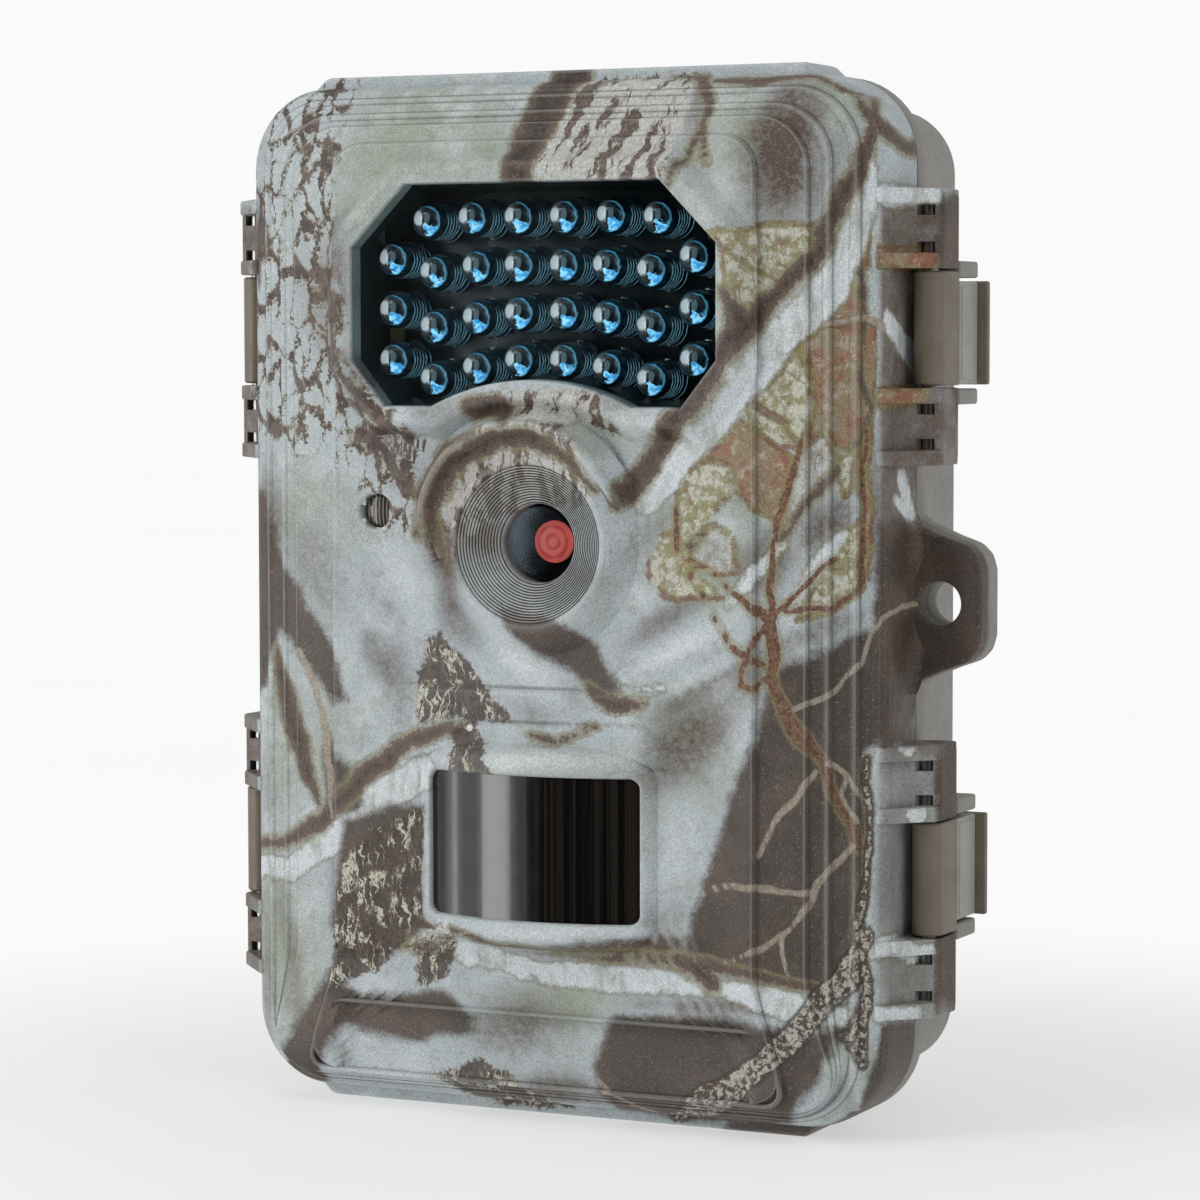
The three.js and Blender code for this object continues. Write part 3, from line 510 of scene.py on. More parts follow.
def fields_distance(p, outlines):
    return np.min([field_distance(p, o) for o in outlines], axis=0)


def blobs(p, table):
    """Sum of soft ellipses."""
    total = np.zeros(len(p))
    for x, z, rx, rz, turn, strength in table:
        c, s = math.cos(math.radians(turn)), math.sin(math.radians(turn))
        dx, dz = p[:, 0] - x, p[:, 1] - z
        u, v = (dx * c + dz * s) / rx, (dz * c - dx * s) / rz
        total += strength * np.exp(-(u * u + v * v) ** 1.5)
    return total


def grain_coordinates(p):
    """Along and across the wood grain of the nearest bark or grain field."""
    tables = BARK_FIELDS + GRAIN_FIELDS + [(f, 96) for f in MARKED_FIELDS]
    distances = np.array([field_distance(p, outline) for outline, _ in tables])
    angle = np.radians(np.array([a for _, a in tables])[distances.argmin(0)])
    along = p[:, 0] * np.cos(angle) + p[:, 1] * np.sin(angle)
    across = p[:, 1] * np.cos(angle) - p[:, 0] * np.sin(angle)
    return along, across


def unfold(points):
    """Front-face X and Z of each point, carrying on over the rim and down the sides."""
    x, y, z = points.T
    past_side = np.clip(y + 1, 0, None) * (np.abs(x) > RIM_W - 4)
    past_end = np.clip(y + 1, 0, None) * (np.abs(z) > RIM_H - 3)
    return np.stack([x + np.sign(x) * past_side, z + np.sign(z) * past_end], 1)


def edge_sharpness(mesh, co):
    """Bend of the surface at each vertex, per mm: above zero on ridges, below zero in creases."""
    ends = np.empty(len(mesh.edges) * 2, np.int32)
    mesh.edges.foreach_get("vertices", ends)
    a, b = ends.reshape(-1, 2).T
    normals = np.empty(len(mesh.vertices) * 3, np.float32)
    mesh.vertices.foreach_get("normal", normals)
    normals = normals.reshape(-1, 3)
    along = (co[b] - co[a]) / MM
    length = np.linalg.norm(along, axis=1) + 0.02
    bend = np.zeros(len(co))
    count = np.full(len(co), 1e-6)
    for here, sign in ((a, -1), (b, 1)):
        np.add.at(bend, here, sign * (along * normals[here]).sum(1) / length ** 2)
        np.add.at(count, here, 1)
    bend = np.clip(bend / count, -1.5, 1.5)
    spread = np.zeros(len(co))
    for here, other in ((a, b), (b, a)):
        np.add.at(spread, here, bend[other])
    return 0.5 * bend + 0.5 * spread / count


def store(mesh, name, values):
    mesh.attributes.new(name, "FLOAT", "POINT").data.foreach_set("value", values.astype(np.float32))


def paint(obj):
    """Stores the camouflage's distances on a piece's vertices."""
    mesh = obj.data
    co = np.empty(len(mesh.vertices) * 3, np.float32)
    mesh.vertices.foreach_get("co", co)
    co = co.reshape(-1, 3).astype(float)
    flat = unfold((co - ORIGIN) / MM)
    p = waver(flat)
    along, across = grain_coordinates(p)
    wall = smooth((np.abs(flat[:, 0]) - 47.6) / 1.6) * smooth((56 - flat[:, 1]) / 4) * smooth((flat[:, 1] + 57) / 3)
    wall = wall * (1 - 0.45 * smooth((-16 - flat[:, 1]) / 8) * (flat[:, 0] > 0) * (flat[:, 0] < 60))
    leaf_edges = np.min([np.abs(field_distance(p, o)) for o in RUST_LEAVES + OLIVE_LEAVES + GREY_LEAVES], axis=0)
    layers = {
        "dark": strokes_distance(p, DARK_STROKES),
        "dusk": fields_distance(p, DUSK_FIELDS),
        "marked": fields_distance(p, MARKED_FIELDS),
        "pale": strokes_distance(p, PALE_STROKES),
        "bark": fields_distance(p, [f for f, _ in BARK_FIELDS]),
        "bark_dense": field_distance(p, BARK_FIELDS[1][0]),
        "grain": fields_distance(p, [f for f, _ in GRAIN_FIELDS]),
        "rust": fields_distance(p, RUST_LEAVES),
        "olive": fields_distance(p, OLIVE_LEAVES),
        "grey_leaf": fields_distance(p, GREY_LEAVES),
        "leaf_edge": leaf_edges,
        "brown_twig": strokes_distance(p, BROWN_TWIGS),
        "pale_twig": strokes_distance(p, PALE_TWIGS),
        "birch": strokes_distance(p, BIRCH_TWIGS),
        "soft": blobs(p, SOFT),
        "greenish": blobs(p, GREENISH),
        "wall": wall,
        "bend": edge_sharpness(mesh, co) * (0.2 if obj.name.startswith(("ears", "tab")) else 1.0),
        "along": along,
        "across": across,
    }
    for name, values in layers.items():
        store(mesh, name, values)


# ---- materials ----
def rgb(code):
    """A hex colour as linear RGBA."""
    values = [int(code[i:i + 2], 16) / 255 for i in (0, 2, 4)]
    return [v / 12.92 if v <= 0.04045 else ((v + 0.055) / 1.055) ** 2.4 for v in values] + [1.0]


class Value:
    """A node's output; arithmetic on it adds math nodes."""

    def __init__(self, nodes, socket):
        self.nodes, self.socket = nodes, socket

    def apply(self, operation, *others):
        return self.nodes.add("Math", dict(enumerate((self, *others))), operation=operation)

    def __add__(self, other):
        return self.apply("ADD", other)

    def __sub__(self, other):
        return self.apply("SUBTRACT", other)

    def __rsub__(self, other):
        return self.nodes.add("Math", {0: other, 1: self}, operation="SUBTRACT")

    def __mul__(self, other):
        return self.apply("MULTIPLY", other)

    def __abs__(self):
        return self.apply("ABSOLUTE")

    def clamped(self):
        """The same math node, kept between 0 and 1."""
        self.socket.node.use_clamp = True
        return self

    def step(self, low, high, start=0.0, end=1.0):
        """Smooth step from start at low to end at high."""
        inputs = dict(enumerate((self, low, high, start, end)))
        return self.nodes.add("MapRange", inputs, interpolation_type="SMOOTHSTEP")

    def fall(self, low, high):
        """Smooth step from 1 at low to 0 at high."""
        return self.step(low, high, 1.0, 0.0)


class Nodes:
    """Short names for the nodes of a shader tree. A string stands for a hex colour."""

    def __init__(self, tree):
        self.tree = tree
        tree.nodes.clear()

    def put(self, socket, value):
        if isinstance(value, Value):
            self.tree.links.new(value.socket, socket)
        elif value is not None:
            socket.default_value = rgb(value) if isinstance(value, str) else value

    def node(self, kind, inputs, **settings):
        node = self.tree.nodes.new("ShaderNode" + kind)
        for name, setting in settings.items():
            setattr(node, name, setting)
        for key, value in inputs.items():
            self.put(node.inputs[key], value)
        return node

    def add(self, kind, inputs, output=0, **settings):
        return Value(self, self.node(kind, inputs, **settings).outputs[output])

    def split(self, vector):
        return [Value(self, socket) for socket in self.node("SeparateXYZ", {0: vector}).outputs]

    def blend(self, amount, a, b):
        return self.add("MixShader", {0: amount, 1: a, 2: b})


class Look(Nodes):
    """A material's nodes. over() and dim() change its colour so far."""

    def __init__(self, name):
        self.material = bpy.data.materials.new(name)
        self.material.use_nodes = True
        super().__init__(self.material.node_tree)
        place_on_object = self.add("TexCoord", {}, "Object")
        self.mm = self.add("VectorMath", {0: place_on_object, "Scale": 1 / MM}, operation="SCALE")
        self.colour = None

    def attribute(self, name):
        return self.add("Attribute", {}, "Fac", attribute_name=name)

    def vector(self, x, y, z=0.0):
        return self.add("CombineXYZ", {0: x, 1: y, 2: z})

    def stretch(self, *amounts):
        return self.add("VectorMath", {0: self.mm, 1: amounts}, operation="MULTIPLY")

    def noise(self, scale, detail=2.0, roughness=0.5, vector=None):
        inputs = {"Vector": vector or self.mm, "Scale": scale, "Detail": detail, "Roughness": roughness}
        return self.add("TexNoise", inputs, "Fac")

    def cells(self, scale, vector=None, feature="F1"):
        return self.add("TexVoronoi", {"Vector": vector or self.mm, "Scale": scale}, "Distance", feature=feature)

    def mix(self, amount, a, b, blend="MIX"):
        return self.add("Mix", {0: amount, 6: a, 7: b}, 2, data_type="RGBA", blend_type=blend)

    def over(self, amount, tint):
        self.colour = self.mix(amount, self.colour, tint)

    def dim(self, factor):
        self.colour = self.mix(1.0, self.colour, self.vector(factor, factor, factor), "MULTIPLY")

    def offsets(self, x, z):
        """Millimetres to the right of and above a design point."""
        across, _, up = self.split(self.mm)
        return across - (ORIGIN[0] / MM + x), up - (ORIGIN[2] / MM + z)

    def reach(self, x, z):
        """Distance from a design point, seen from the front."""
        right, above = self.offsets(x, z)
        return (right * right + above * above).apply("SQRT")

    def from_edge(self, node):
        """Distance in from the nearest side of a CAD node's box, seen from the front."""
        low, high = (np.array(v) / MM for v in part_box(node))
        x, _, z = self.split(self.mm)
        side, end = ((v - float(low[i])).apply("MINIMUM", float(high[i]) - v) for v, i in ((x, 0), (z, 2)))
        return side.apply("MINIMUM", end)

    def bump(self, height, distance):
        """distance is in millimetres."""
        return self.add("Bump", {"Height": height, "Distance": distance * MM, "Strength": 1.0})

    def shell(self, colour, roughness, normal=None, **sockets):
        """A Principled surface; other sockets by name, with spaces as underscores."""
        inputs = {"Base Color": colour, "Roughness": roughness, "Normal": normal}
        inputs.update((name.replace("_", " "), value) for name, value in sockets.items())
        return self.add("BsdfPrincipled", inputs)

    def finish(self, surface):
        self.node("OutputMaterial", {"Surface": surface})
        return self.material


def camouflage(name="camouflage", ribs=False):
    """Printed bark and leaves over fine-textured plastic; ribs adds painted highlights on the crests and painted shade
    in the grooves of the turned rings round the lens.
    """
    m = Look(name)
    fine = m.noise(1.9, 3, 0.65) - 0.5
    broad = m.noise(0.45, 3, 0.6) - 0.5
    mottle = m.noise(0.55, 5, 0.72)
    ragged = fine * 1.5 + broad * 1.6
    slight = fine * 0.45
    along, across = m.attribute("along"), m.attribute("across")

    def edge(name, wobble, softness):
        """1 inside a shape, 0 outside, with its ragged distance."""
        distance = m.attribute(name) + wobble
        return distance.fall(-softness, softness), distance

    def fringe(distance, low=-0.1, high=0.75):
        """A thin band just outside a shape's edge."""
        return distance.step(low, 0.1) * distance.fall(0.25, high)

    # pale ground
    green = m.attribute("greenish") + m.noise(0.09, 3).step(0.5, 0.72, 0.0, 0.5)
    m.colour = m.mix(green.clamped(), "adb6ba", "9aa296")
    m.over(m.noise(0.16, 3, 0.6).step(0.45, 0.75, 0.0, 0.75), "c3cacc")
    m.over(m.noise(0.5, 4, 0.7).step(0.5, 0.68, 0.0, 0.45), "8e8c80")
    # out-of-focus print shapes behind, with painted shade under the lens brow; then darker brown on the side walls
    soft = m.attribute("soft") * m.noise(1.1, 4, 0.75).step(0.25, 0.75, 0.65, 1.2)
    m.over((soft * 1.45).clamped(), "594b41")
    m.over((soft * -1.0).clamped(), "cfd5d7")
    m.over(m.attribute("wall") * m.noise(0.3, 4, 0.7).step(0.3, 0.66, 0.72, 1.0), "64574e")
    # leaves
    olive, _ = edge("olive", slight, 0.15)
    m.over(olive * 0.92, m.mix(mottle.step(0.44, 0.56), "8d8863", "bcbcae"))
    rust, _ = edge("rust", slight, 0.15)
    earth = m.mix(m.noise(0.2, 4, 0.65).step(0.4, 0.6), "8b5843", "8a7d60")
    m.over(rust * 0.95, m.mix(mottle.step(0.5, 0.66), earth, "a79c8b"))
    grey, _ = edge("grey_leaf", slight, 0.15)
    m.over(grey, m.mix(mottle.step(0.4, 0.62), "938f86", "b4b7b4"))
    leafy = olive.apply("MAXIMUM", rust).apply("MAXIMUM", grey)
    vein = abs(m.noise(0.17, 2, 0.5, m.stretch(1.0, 1.0, 0.6)) - 0.5)
    m.over(leafy * vein.step(0.004, 0.014, 0.5, 0.0), "7d5c40")
    outline = m.attribute("leaf_edge") + fine * 0.9
    m.over(outline.step(0.2, 0.62, 0.8, 0.0), m.mix(broad.step(-0.05, 0.05), "6e5136", "807a4c"))
    # bright bands
    pale, d = edge("pale", ragged * 0.9, 0.4)
    streak = m.noise(0.5, 3, 0.6, m.stretch(1.0, 1.0, 0.35))
    m.over(fringe(d) * 0.5, "77704f")
    m.over(pale, m.mix(streak.step(0.45, 0.7), "cbd2d5", "a9aca6"))
    # bark: plates parted by dark cracks
    bark, _ = edge("bark", ragged * 2.0, 0.6)
    plates = m.vector(along * 0.17 + fine * 0.42, across * 0.33 + (fine + broad) * 0.75)
    width = m.noise(0.2, 3, 0.65).step(0.33, 0.66, -0.03, 0.115) + m.attribute("bark_dense").fall(-1.5, 1.5) * 0.1
    away = m.cells(1.0, plates, "DISTANCE_TO_EDGE") - (width + fine * 0.2)
    m.over(bark * 0.55, "b3bbbf")
    m.over(bark * away.step(0.0, 0.06, 0.85, 0.0), "7b7350")
    m.over(away.fall(-0.015, 0.015) * bark, m.mix(broad.step(-0.08, 0.08), "4a3e38", "655750"))
    # streaky birch grain
    grain, _ = edge("grain", ragged * 1.4, 0.4)
    strands = m.noise(1.0, 5, 0.66, m.vector(along * 0.11, (across + broad * 2.4) * 0.5))
    m.over(grain * 0.8, m.mix(fine.step(-0.1, 0.15), "b3b0a3", "c6cacb"))
    m.over(grain * strands.step(0.46, 0.56, 0.0, 0.5), "8a8070")
    m.over(grain * strands.step(0.515, 0.535), m.mix(fine.step(-0.15, 0.15), "51443d", "71635a"))
    # soft-edged dark fields, then dark strokes with a dark heart and a mossy edge
    dusk, _ = edge("dusk", ragged * 0.9, 0.9)
    m.over(dusk * 0.95, m.mix(m.noise(0.12, 3).step(0.4, 0.65), "463b33", "57493f"))
    dark, d = edge("dark", ragged * 0.8, 0.16)
    m.over(fringe(d, -0.2, 0.9) * 0.7, "7d7857")
    m.over(dark, m.mix(d.step(-1.5, 0.0), m.mix(mottle.step(0.4, 0.6), "3a302a", "53463d"), "68594e"))
    # dark patches with thin pale marks
    marked, _ = edge("marked", ragged * 1.2, 0.3)
    lines = m.noise(1.0, 4, 0.62, m.vector(along * 0.17, (across + broad * 3.0) * 0.62))
    away = abs(lines - 0.5) - m.noise(0.3, 3).step(0.35, 0.65, -0.012, 0.03)
    m.over(marked * 0.92, m.mix(mottle.step(0.4, 0.65), "3f342e", "574a40"))
    m.over(marked * away.step(0.0, 0.03, 0.4, 0.0), "8b8468")
    m.over(marked * away.fall(-0.005, 0.006), "bdbdae")
    # twigs
    brown, d = edge("brown_twig", slight, 0.1)
    m.over(fringe(d, -0.1, 0.6) * 0.5, "8a8258")
    m.over(brown, m.mix(fine.step(-0.12, 0.12), "5c4335", "80604b"))
    thin, _ = edge("pale_twig", fine * 0.3, 0.14)
    m.over(thin * 0.85, m.mix(fine.step(-0.1, 0.1), "8f8577", "a59b8c"))
    birch, d = edge("birch", ragged * 0.6, 0.12)
    m.over(fringe(d) * 0.85, "443a34")
    m.over(birch, m.mix(m.noise(1.3, 4, 0.7).step(0.46, 0.52), "aeaba1", "54473f"))
    # speckled ink with a little sparkle
    m.dim(m.noise(2.8, 2, 0.8).step(0.3, 0.7, 0.36, 0.62) + m.noise(6.0, 1, 0.5).step(0.25, 0.75, 0.3, 0.74))
    m.over(m.noise(4.0, 1, 0.5).step(0.64, 0.72, 0.0, 0.3), "b9b6ae")
    # painted highlights along ridges, and painted shade in the creases
    bend = m.attribute("bend")
    m.over((bend + fine * 0.12).step(0.05, 0.4, 0.0, 0.16), "d0d4d4")
    m.over((fine * 0.1 - bend).step(0.03, 0.3, 0.0, 0.5), "463d36")
    for (x, z), tint in zip(FACE_DOTS, ("0c0b0b", "d6d6d2")):
        m.over(m.reach(x, z).fall(0.38, 0.55), tint)
    if ribs:
        # painted highlights on the rib crests, painted shade in the grooves
        radius = m.reach(0, LENS_Z)
        phase = ((radius - BOWL_INNER_R) * (1 / RIB_PITCH)).apply("FRACT")
        inner = radius.step(10.7, 10.5)
        groove = abs(phase - 0.45).step(0.12, 0.42) * inner
        m.over((inner - groove) * 0.2, "cfd3d2")
        m.over(groove * m.noise(0.8, 3).step(0.3, 0.7, 0.8, 1.0), "2e2723")
    height = m.noise(4.2, 3, 0.6) + m.noise(0.8, 2) * 0.6
    gloss = m.noise(2.6, 3, 0.6).step(0.3, 0.7, 0.36, 0.54)
    return m.finish(m.shell(m.colour, gloss, m.bump(height, 0.055), Specular_IOR_Level=0.32))


def plastic(name, colour, shade, roughness=0.5, grain=4.0, depth=0.04, spread=0.12):
    """Moulded plastic: fine texture, faint clouding and worn, shinier patches."""
    m = Look(name)
    m.colour = m.mix(m.noise(0.12, 4, 0.6).step(0.3, 0.7), colour, shade)
    m.dim(m.noise(grain * 1.4, 2, 0.7).step(0.3, 0.7, 1 - spread, 1 + spread))
    worn = m.noise(0.5, 4, 0.65).step(0.35, 0.7, roughness + 0.06, roughness - 0.08)
    return m.finish(m.shell(m.colour, worn, m.bump(m.noise(grain, 3, 0.6), depth)))


def metal(name, colour, shade, roughness=0.28):
    """Turned or stamped metal with fine scratches."""
    m = Look(name)
    lines = m.noise(1.4, 4, 0.6, m.stretch(6.0, 6.0, 0.4))
    gloss = m.noise(0.9, 3).step(0.3, 0.7, roughness, roughness + 0.16)
    return m.finish(m.shell(m.mix(lines.step(0.35, 0.65), colour, shade), gloss, m.bump(lines, 0.01), Metallic=1.0))


def pane(name, tint, gloss_tint, strength, smooth_to=0.015, rough_to=0.05):
    """A clear pane: what is behind shows through, with a sharp reflection."""
    m = Look(name)
    gloss = m.noise(0.25, 3, 0.6).step(0.3, 0.7, smooth_to, rough_to)
    clear = m.add("BsdfTransparent", {"Color": tint})
    shine = m.add("BsdfGlossy", {"Color": gloss_tint, "Roughness": gloss})
    fresnel = m.add("Fresnel", {"IOR": 1.5})
    return m.finish(m.blend((fresnel * strength).clamped(), clear, shine))


def lamp_glass():
    """Lamp heads: clear resin with a painted highlight split by the chip's post, painted shading, and painted blue
    glints and reflections, which also glow.
    """
    m = Look("lamp_glass")
    x, y, z, seed = map(m.attribute, LAMP_ATTRIBUTES)

    def within(value, half, soft):
        return abs(value).fall(half - soft, half + soft)

    radius = (x * x + z * z).apply("SQRT")
    warp = m.noise(1.3, 3, 0.6, m.vector(x + seed * 7.0, y, z)) - 0.5
    dome = y.fall(2.1, 2.5)
    # painted blue glint: a wedge of blue to the lower right of the tip
    turned = z.apply("ARCTAN2", x) + 0.95 + warp * 1.8
    wedge = within(turned, 0.5, 0.1) * (radius.step(0.2, 0.5) * radius.fall(1.9, 2.2)) * dome
    # painted highlight: a pale blob left of the tip and a dimmer one to its right, parted by the chip's dark post
    left, right, high = x + 0.85, x - 0.55, z - 0.35
    highlight_spot = left * left * 0.95 + high * high * 0.75
    highlight_spot = (highlight_spot + warp * 0.9).fall(0.5, 0.95) * dome
    second = right * right * 4.0 + high * high
    second = (second + warp * 0.8).fall(0.5, 0.8) * dome
    post = within(x + warp * 0.5, 0.2, 0.07)
    # painted reflections: fine arcs near the edge of the head and along the round body behind it
    arcs = (y * 7.5 + warp * 5.0).apply("SINE").step(0.35, 0.7) * y.step(2.0, 2.6)
    arcs = arcs * (z + warp * 3.0).step(1.6, 0.2, 0.2, 1.0)
    # painted highlight in a ring near the head's edge, strongest on the right, and painted shading over the dome's left
    # part, paler towards the top
    rim = within(radius - (warp * 0.5 + 2.0), 0.1, 0.06) * dome * x.step(-0.6, 0.6, 0.25, 1.0)
    dome_shade = x.step(0.6, -1.2) * radius.step(2.5, 1.5) * dome
    m.colour = m.mix((x + warp).step(-1.0, 1.8), "0e1112", "0d2834")
    m.over(dome_shade * 0.75, m.mix(z.step(-1.6, 1.4), "3b3f40", "8a8d8e"))
    m.over(arcs * 0.95, "86b9cb")
    m.over(rim, "5aaacb")
    m.over(second * 0.6, "9fb0b8")
    m.over(highlight_spot * 0.85, "c9cccd")
    m.over(post * radius.step(1.3, 1.6, 0.9, 0.0), "0b0c0e")
    m.over(wedge, m.mix(warp.step(-0.1, 0.12), "2f8fc9", "9ce0ff"))
    # the painted highlights, glints and reflections also glow
    lit = wedge * 0.9 + arcs * 0.45 + (highlight_spot * 0.4 + (rim * 0.3 + dome_shade * 0.12))
    glow = m.mix(lit.clamped(), "000000", m.colour)
    return m.finish(m.shell(m.colour, 0.06, Specular_IOR_Level=0.6, Coat_Weight=1.0, Coat_Roughness=0.03,
                            Emission_Color=glow, Emission_Strength=1.2))


def lens_throat():
    """Smooth black tube with a painted cold sheen down its left side, which also glows."""
    m = Look("lens_throat")
    right, above = m.offsets(0, LENS_Z)
    sheen = (right + abs(above) * 0.35 + m.noise(0.5, 2) * 0.5).fall(-4.6, -1.6)
    glow = m.mix(sheen, "000000", "2c373c")
    return m.finish(m.shell(m.mix(sheen, "050607", "46545b"), 0.7, Specular_IOR_Level=0.1,
                            Emission_Color=glow, Emission_Strength=0.9))


def red_filter():
    """The lens's red disc, with faint turned rings."""
    m = Look("red_filter")
    ripple = (m.reach(0, LENS_Z) * 5.2).apply("SINE")
    shade = ripple * 0.25 + m.noise(0.6, 2) * 0.8
    colour = m.mix(shade.step(0.0, 0.6), "d4423b", "f86a60")
    # the disc glows in its own colour: painted light
    return m.finish(m.shell(colour, 0.25, Emission_Color=colour, Emission_Strength=0.5))


def circuit_board():
    """Solder mask with tracks and pads."""
    m = Look("circuit_board")
    x, _, z = m.split(m.mm)
    lanes, rows = (abs((v * pitch).apply("FRACT") - 0.5) for v, pitch in ((x, 0.7), (z, 0.6)))
    chosen = m.noise(0.16, 2)
    tracks = lanes.fall(0.1, 0.14) * chosen.step(0.46, 0.5)
    tracks = tracks.apply("MAXIMUM", rows.fall(0.08, 0.12) * chosen.step(0.5, 0.46))
    pads = m.cells(0.42).fall(0.16, 0.19)
    m.colour = m.mix(tracks, "12351f", "1d5a33")
    m.over(pads, "c9b26a")
    return m.finish(m.shell(m.colour, pads.step(0.0, 1.0, 0.42, 0.25), m.bump(tracks, 0.04), Metallic=pads))


def cell_sleeve():
    """Battery sleeve: a plain two-tone shrink wrap, with bare metal ends."""
    m = Look("cell_sleeve")
    height = abs(m.offsets(0, 0)[1])
    ends = height.step(50.0, 50.2).apply("MAXIMUM", height.step(2.8, 2.6))
    m.colour = m.mix(height.step(36.0, 36.3), "2f3a38", "b48a3c")
    m.over(ends, "b8b8b4")
    m.dim(m.noise(1.1, 4, 0.6).step(0.3, 0.7, 0.9, 1.1))
    return m.finish(m.shell(m.colour, 0.3, m.bump(m.noise(0.7, 3), 0.03), Metallic=ends, Coat_Weight=0.3))


def screen():
    """A switched-off display: dark glass with a paler border and a faint grid of cells."""
    m = Look("screen")
    x, _, z = m.split(m.mm)
    border = m.from_edge("display").fall(1.6, 1.8)
    grid = (x * 4.0).apply("FRACT").apply("MAXIMUM", (z * 4.0).apply("FRACT"))
    m.colour = m.mix(grid.step(0.84, 0.9), "35413f", "2c3634")
    m.over(m.noise(0.05, 2).step(0.35, 0.65, 0.0, 0.5), "3f4d49")
    m.over(border, "151717")
    gloss = m.noise(0.5, 3).step(0.3, 0.7, 0.08, 0.16)
    return m.finish(m.shell(m.colour, gloss, m.bump(border, 0.05), Coat_Weight=0.5))


def panel_face():
    """Control panel: grained dark plastic with a fine moulded border line round its edge."""
    m = Look("panel_face")
    line = abs(m.from_edge("inner_panel") - 2.4).fall(0.12, 0.3)
    m.colour = m.mix(m.noise(0.1, 4, 0.6).step(0.3, 0.7), "4a4b49", "414240")
    m.over(line * 0.6, "252624")
    grain = m.noise(3.4, 3, 0.65) - line * 0.8
    worn = m.noise(0.5, 4, 0.65).step(0.35, 0.7, 0.62, 0.48)
    return m.finish(m.shell(m.colour, worn, m.bump(grain, 0.08)))


def gloss_sheet():
    """The motion sensor's gloss black window, with soft upright waves."""
    m = Look("gloss_black")
    waves = m.noise(0.9, 4, 0.75, m.stretch(1.0, 0.4, 0.004))
    colour = m.mix(waves.step(0.42, 0.62), "090808", "25211d")
    gloss = m.noise(0.4, 3).step(0.3, 0.7, 0.13, 0.17)
    return m.finish(m.shell(colour, gloss, m.bump(waves, 0.008), Specular_IOR_Level=0.55, Coat_Weight=0.2))


def ridged_pane():
    """The light sensor's window, with upright ridges."""
    m = Look("fresnel_pane")
    comb = (m.split(m.mm)[0] * 11.0).apply("SINE")
    colour = m.mix(comb.step(-0.3, 0.6), "2a2420", "8a8374")
    return m.finish(m.shell(colour, 0.12, m.bump(comb, 0.15), Coat_Weight=0.6))


# ---- the cover's face ----
# (half width, top, bottom, corner radius, y): from the back edge round the rim to the plateau
FACE_RINGS = [
    (48.0, 70.2, 70.2, 11.5, 11.0), (48.0, 70.2, 70.2, 11.5, 3.2), (47.9, 70.15, 70.15, 11.4, 2.1),
    (47.6, 70.0, 70.0, 11.2, 1.1), (47.1, 69.75, 69.8, 10.9, 0.3), (46.4, 69.4, 69.6, 10.5, -0.3),
    (45.6, 68.9, 69.3, 10.0, -0.75), (44.9, 68.4, 69.0, 9.4, -1.0), (44.5, 68.15, 68.8, 9.2, -1.75),
    (44.2, 68.0, 68.7, 9.1, -1.85), (43.6, 67.5, 68.5, 9.0, -1.8), (41.6, 66.3, 68.1, 8.2, -2.5),
    (41.2, 66.0, 67.9, 8.0, -3.25), (40.9, 65.8, 67.85, 7.9, -3.35), (40.4, 65.3, 67.7, 7.7, -3.3),
    (38.8, 64.6, 67.5, 7.2, -3.75), (38.4, 64.3, 67.3, 7.0, -4.45), (38.0, 64.0, 67.2, 6.9, -4.5),
    (35.0, 62.9, 66.9, 6.0, -4.8), (32.0, 62.2, 66.5, 5.0, -5.2), (31.5, 61.8, 66.2, 4.8, -6.1),
    (31.1, 61.4, 66.0, 4.6, PLATEAU),
]
CENTRE_RING = (0.004, 30.6, 35.6, 0.003, PLATEAU)


def smooth(t):
    t = np.clip(t, 0, 1)
    return t * t * (3 - 2 * t)


def dense_rings(table, step):
    """The ring table with rows added so that half widths and depths change by at most step."""
    rows = [np.array(table[0], float)]
    for row in table[1:]:
        row = np.array(row, float)
        change = np.abs(row - rows[-1])
        n = max(1, math.ceil(max(change[0], change[1], change[4]) / step))
        rows.extend(rows[-1] + (row - rows[-1]) * k / n for k in range(1, n + 1))
    return rows


def flare(points, amount):
    """The plateau's sides lean outwards below the motion sensor."""
    x, z = points[:, 0], points[:, 1]
    lean = 1 + amount * 0.15 * smooth((-48 - z) / 20)
    return np.stack([x * lean, z], 1)


def relief(p):
    """Height added to the plateau, towards the viewer, in X and Z."""
    x, z = p[:, 0], p[:, 1]
    on_plateau = smooth((31 - np.abs(x)) / 1.5)
    ledge = smooth((20.5 - np.abs(x + 0.5)) / 1.0) * smooth((-11.8 - z) / 0.9) * smooth((z + 22) / 0.8)
    second = smooth((18.5 - np.abs(x)) / 1.0) * smooth((-16.4 - z) / 0.9) * smooth((z + 22) / 0.8)
    plate = np.minimum(PLATE_W - np.abs(x), PLATE_H - np.abs(z - PLATE_Z))
    sunk = smooth((plate + 0.2) / 0.5)
    below = smooth((-48.6 - z) / 0.9) * smooth((z + 70) / 6)
    dimple = np.exp(-((x - SENSOR_X) ** 2 + (z - SENSOR_Z) ** 2) / 14)
    return on_plateau * (0.7 * ledge + 0.8 * second - 0.5 * below) - 0.7 * sunk - 0.35 * dimple


def face_openings(p, grow):
    """True for points of the face that lie in an opening."""
    x, z = p[:, 0], p[:, 1]
    window = field_distance(p, window_outline()) < grow
    lens = np.hypot(x, z - LENS_Z) < LENS_HOLE_R + grow
    motion = (np.abs(x) < PIR_W + grow) & (np.abs(z - PIR_Z) < PIR_H + grow)
    sensor = np.hypot(x - SENSOR_X, z - SENSOR_Z) < SENSOR_R
    return window | lens | motion | sensor


def without(part, unwanted):
    """A part without the faces whose middle is unwanted(points in X and Z)."""
    points, faces = part
    faces = np.asarray(faces)
    middle = points[faces].mean(1)
    front = middle[:, 1] < 0.5
    drop = unwanted(middle[:, [0, 2]]) & front
    return points, faces[~drop]


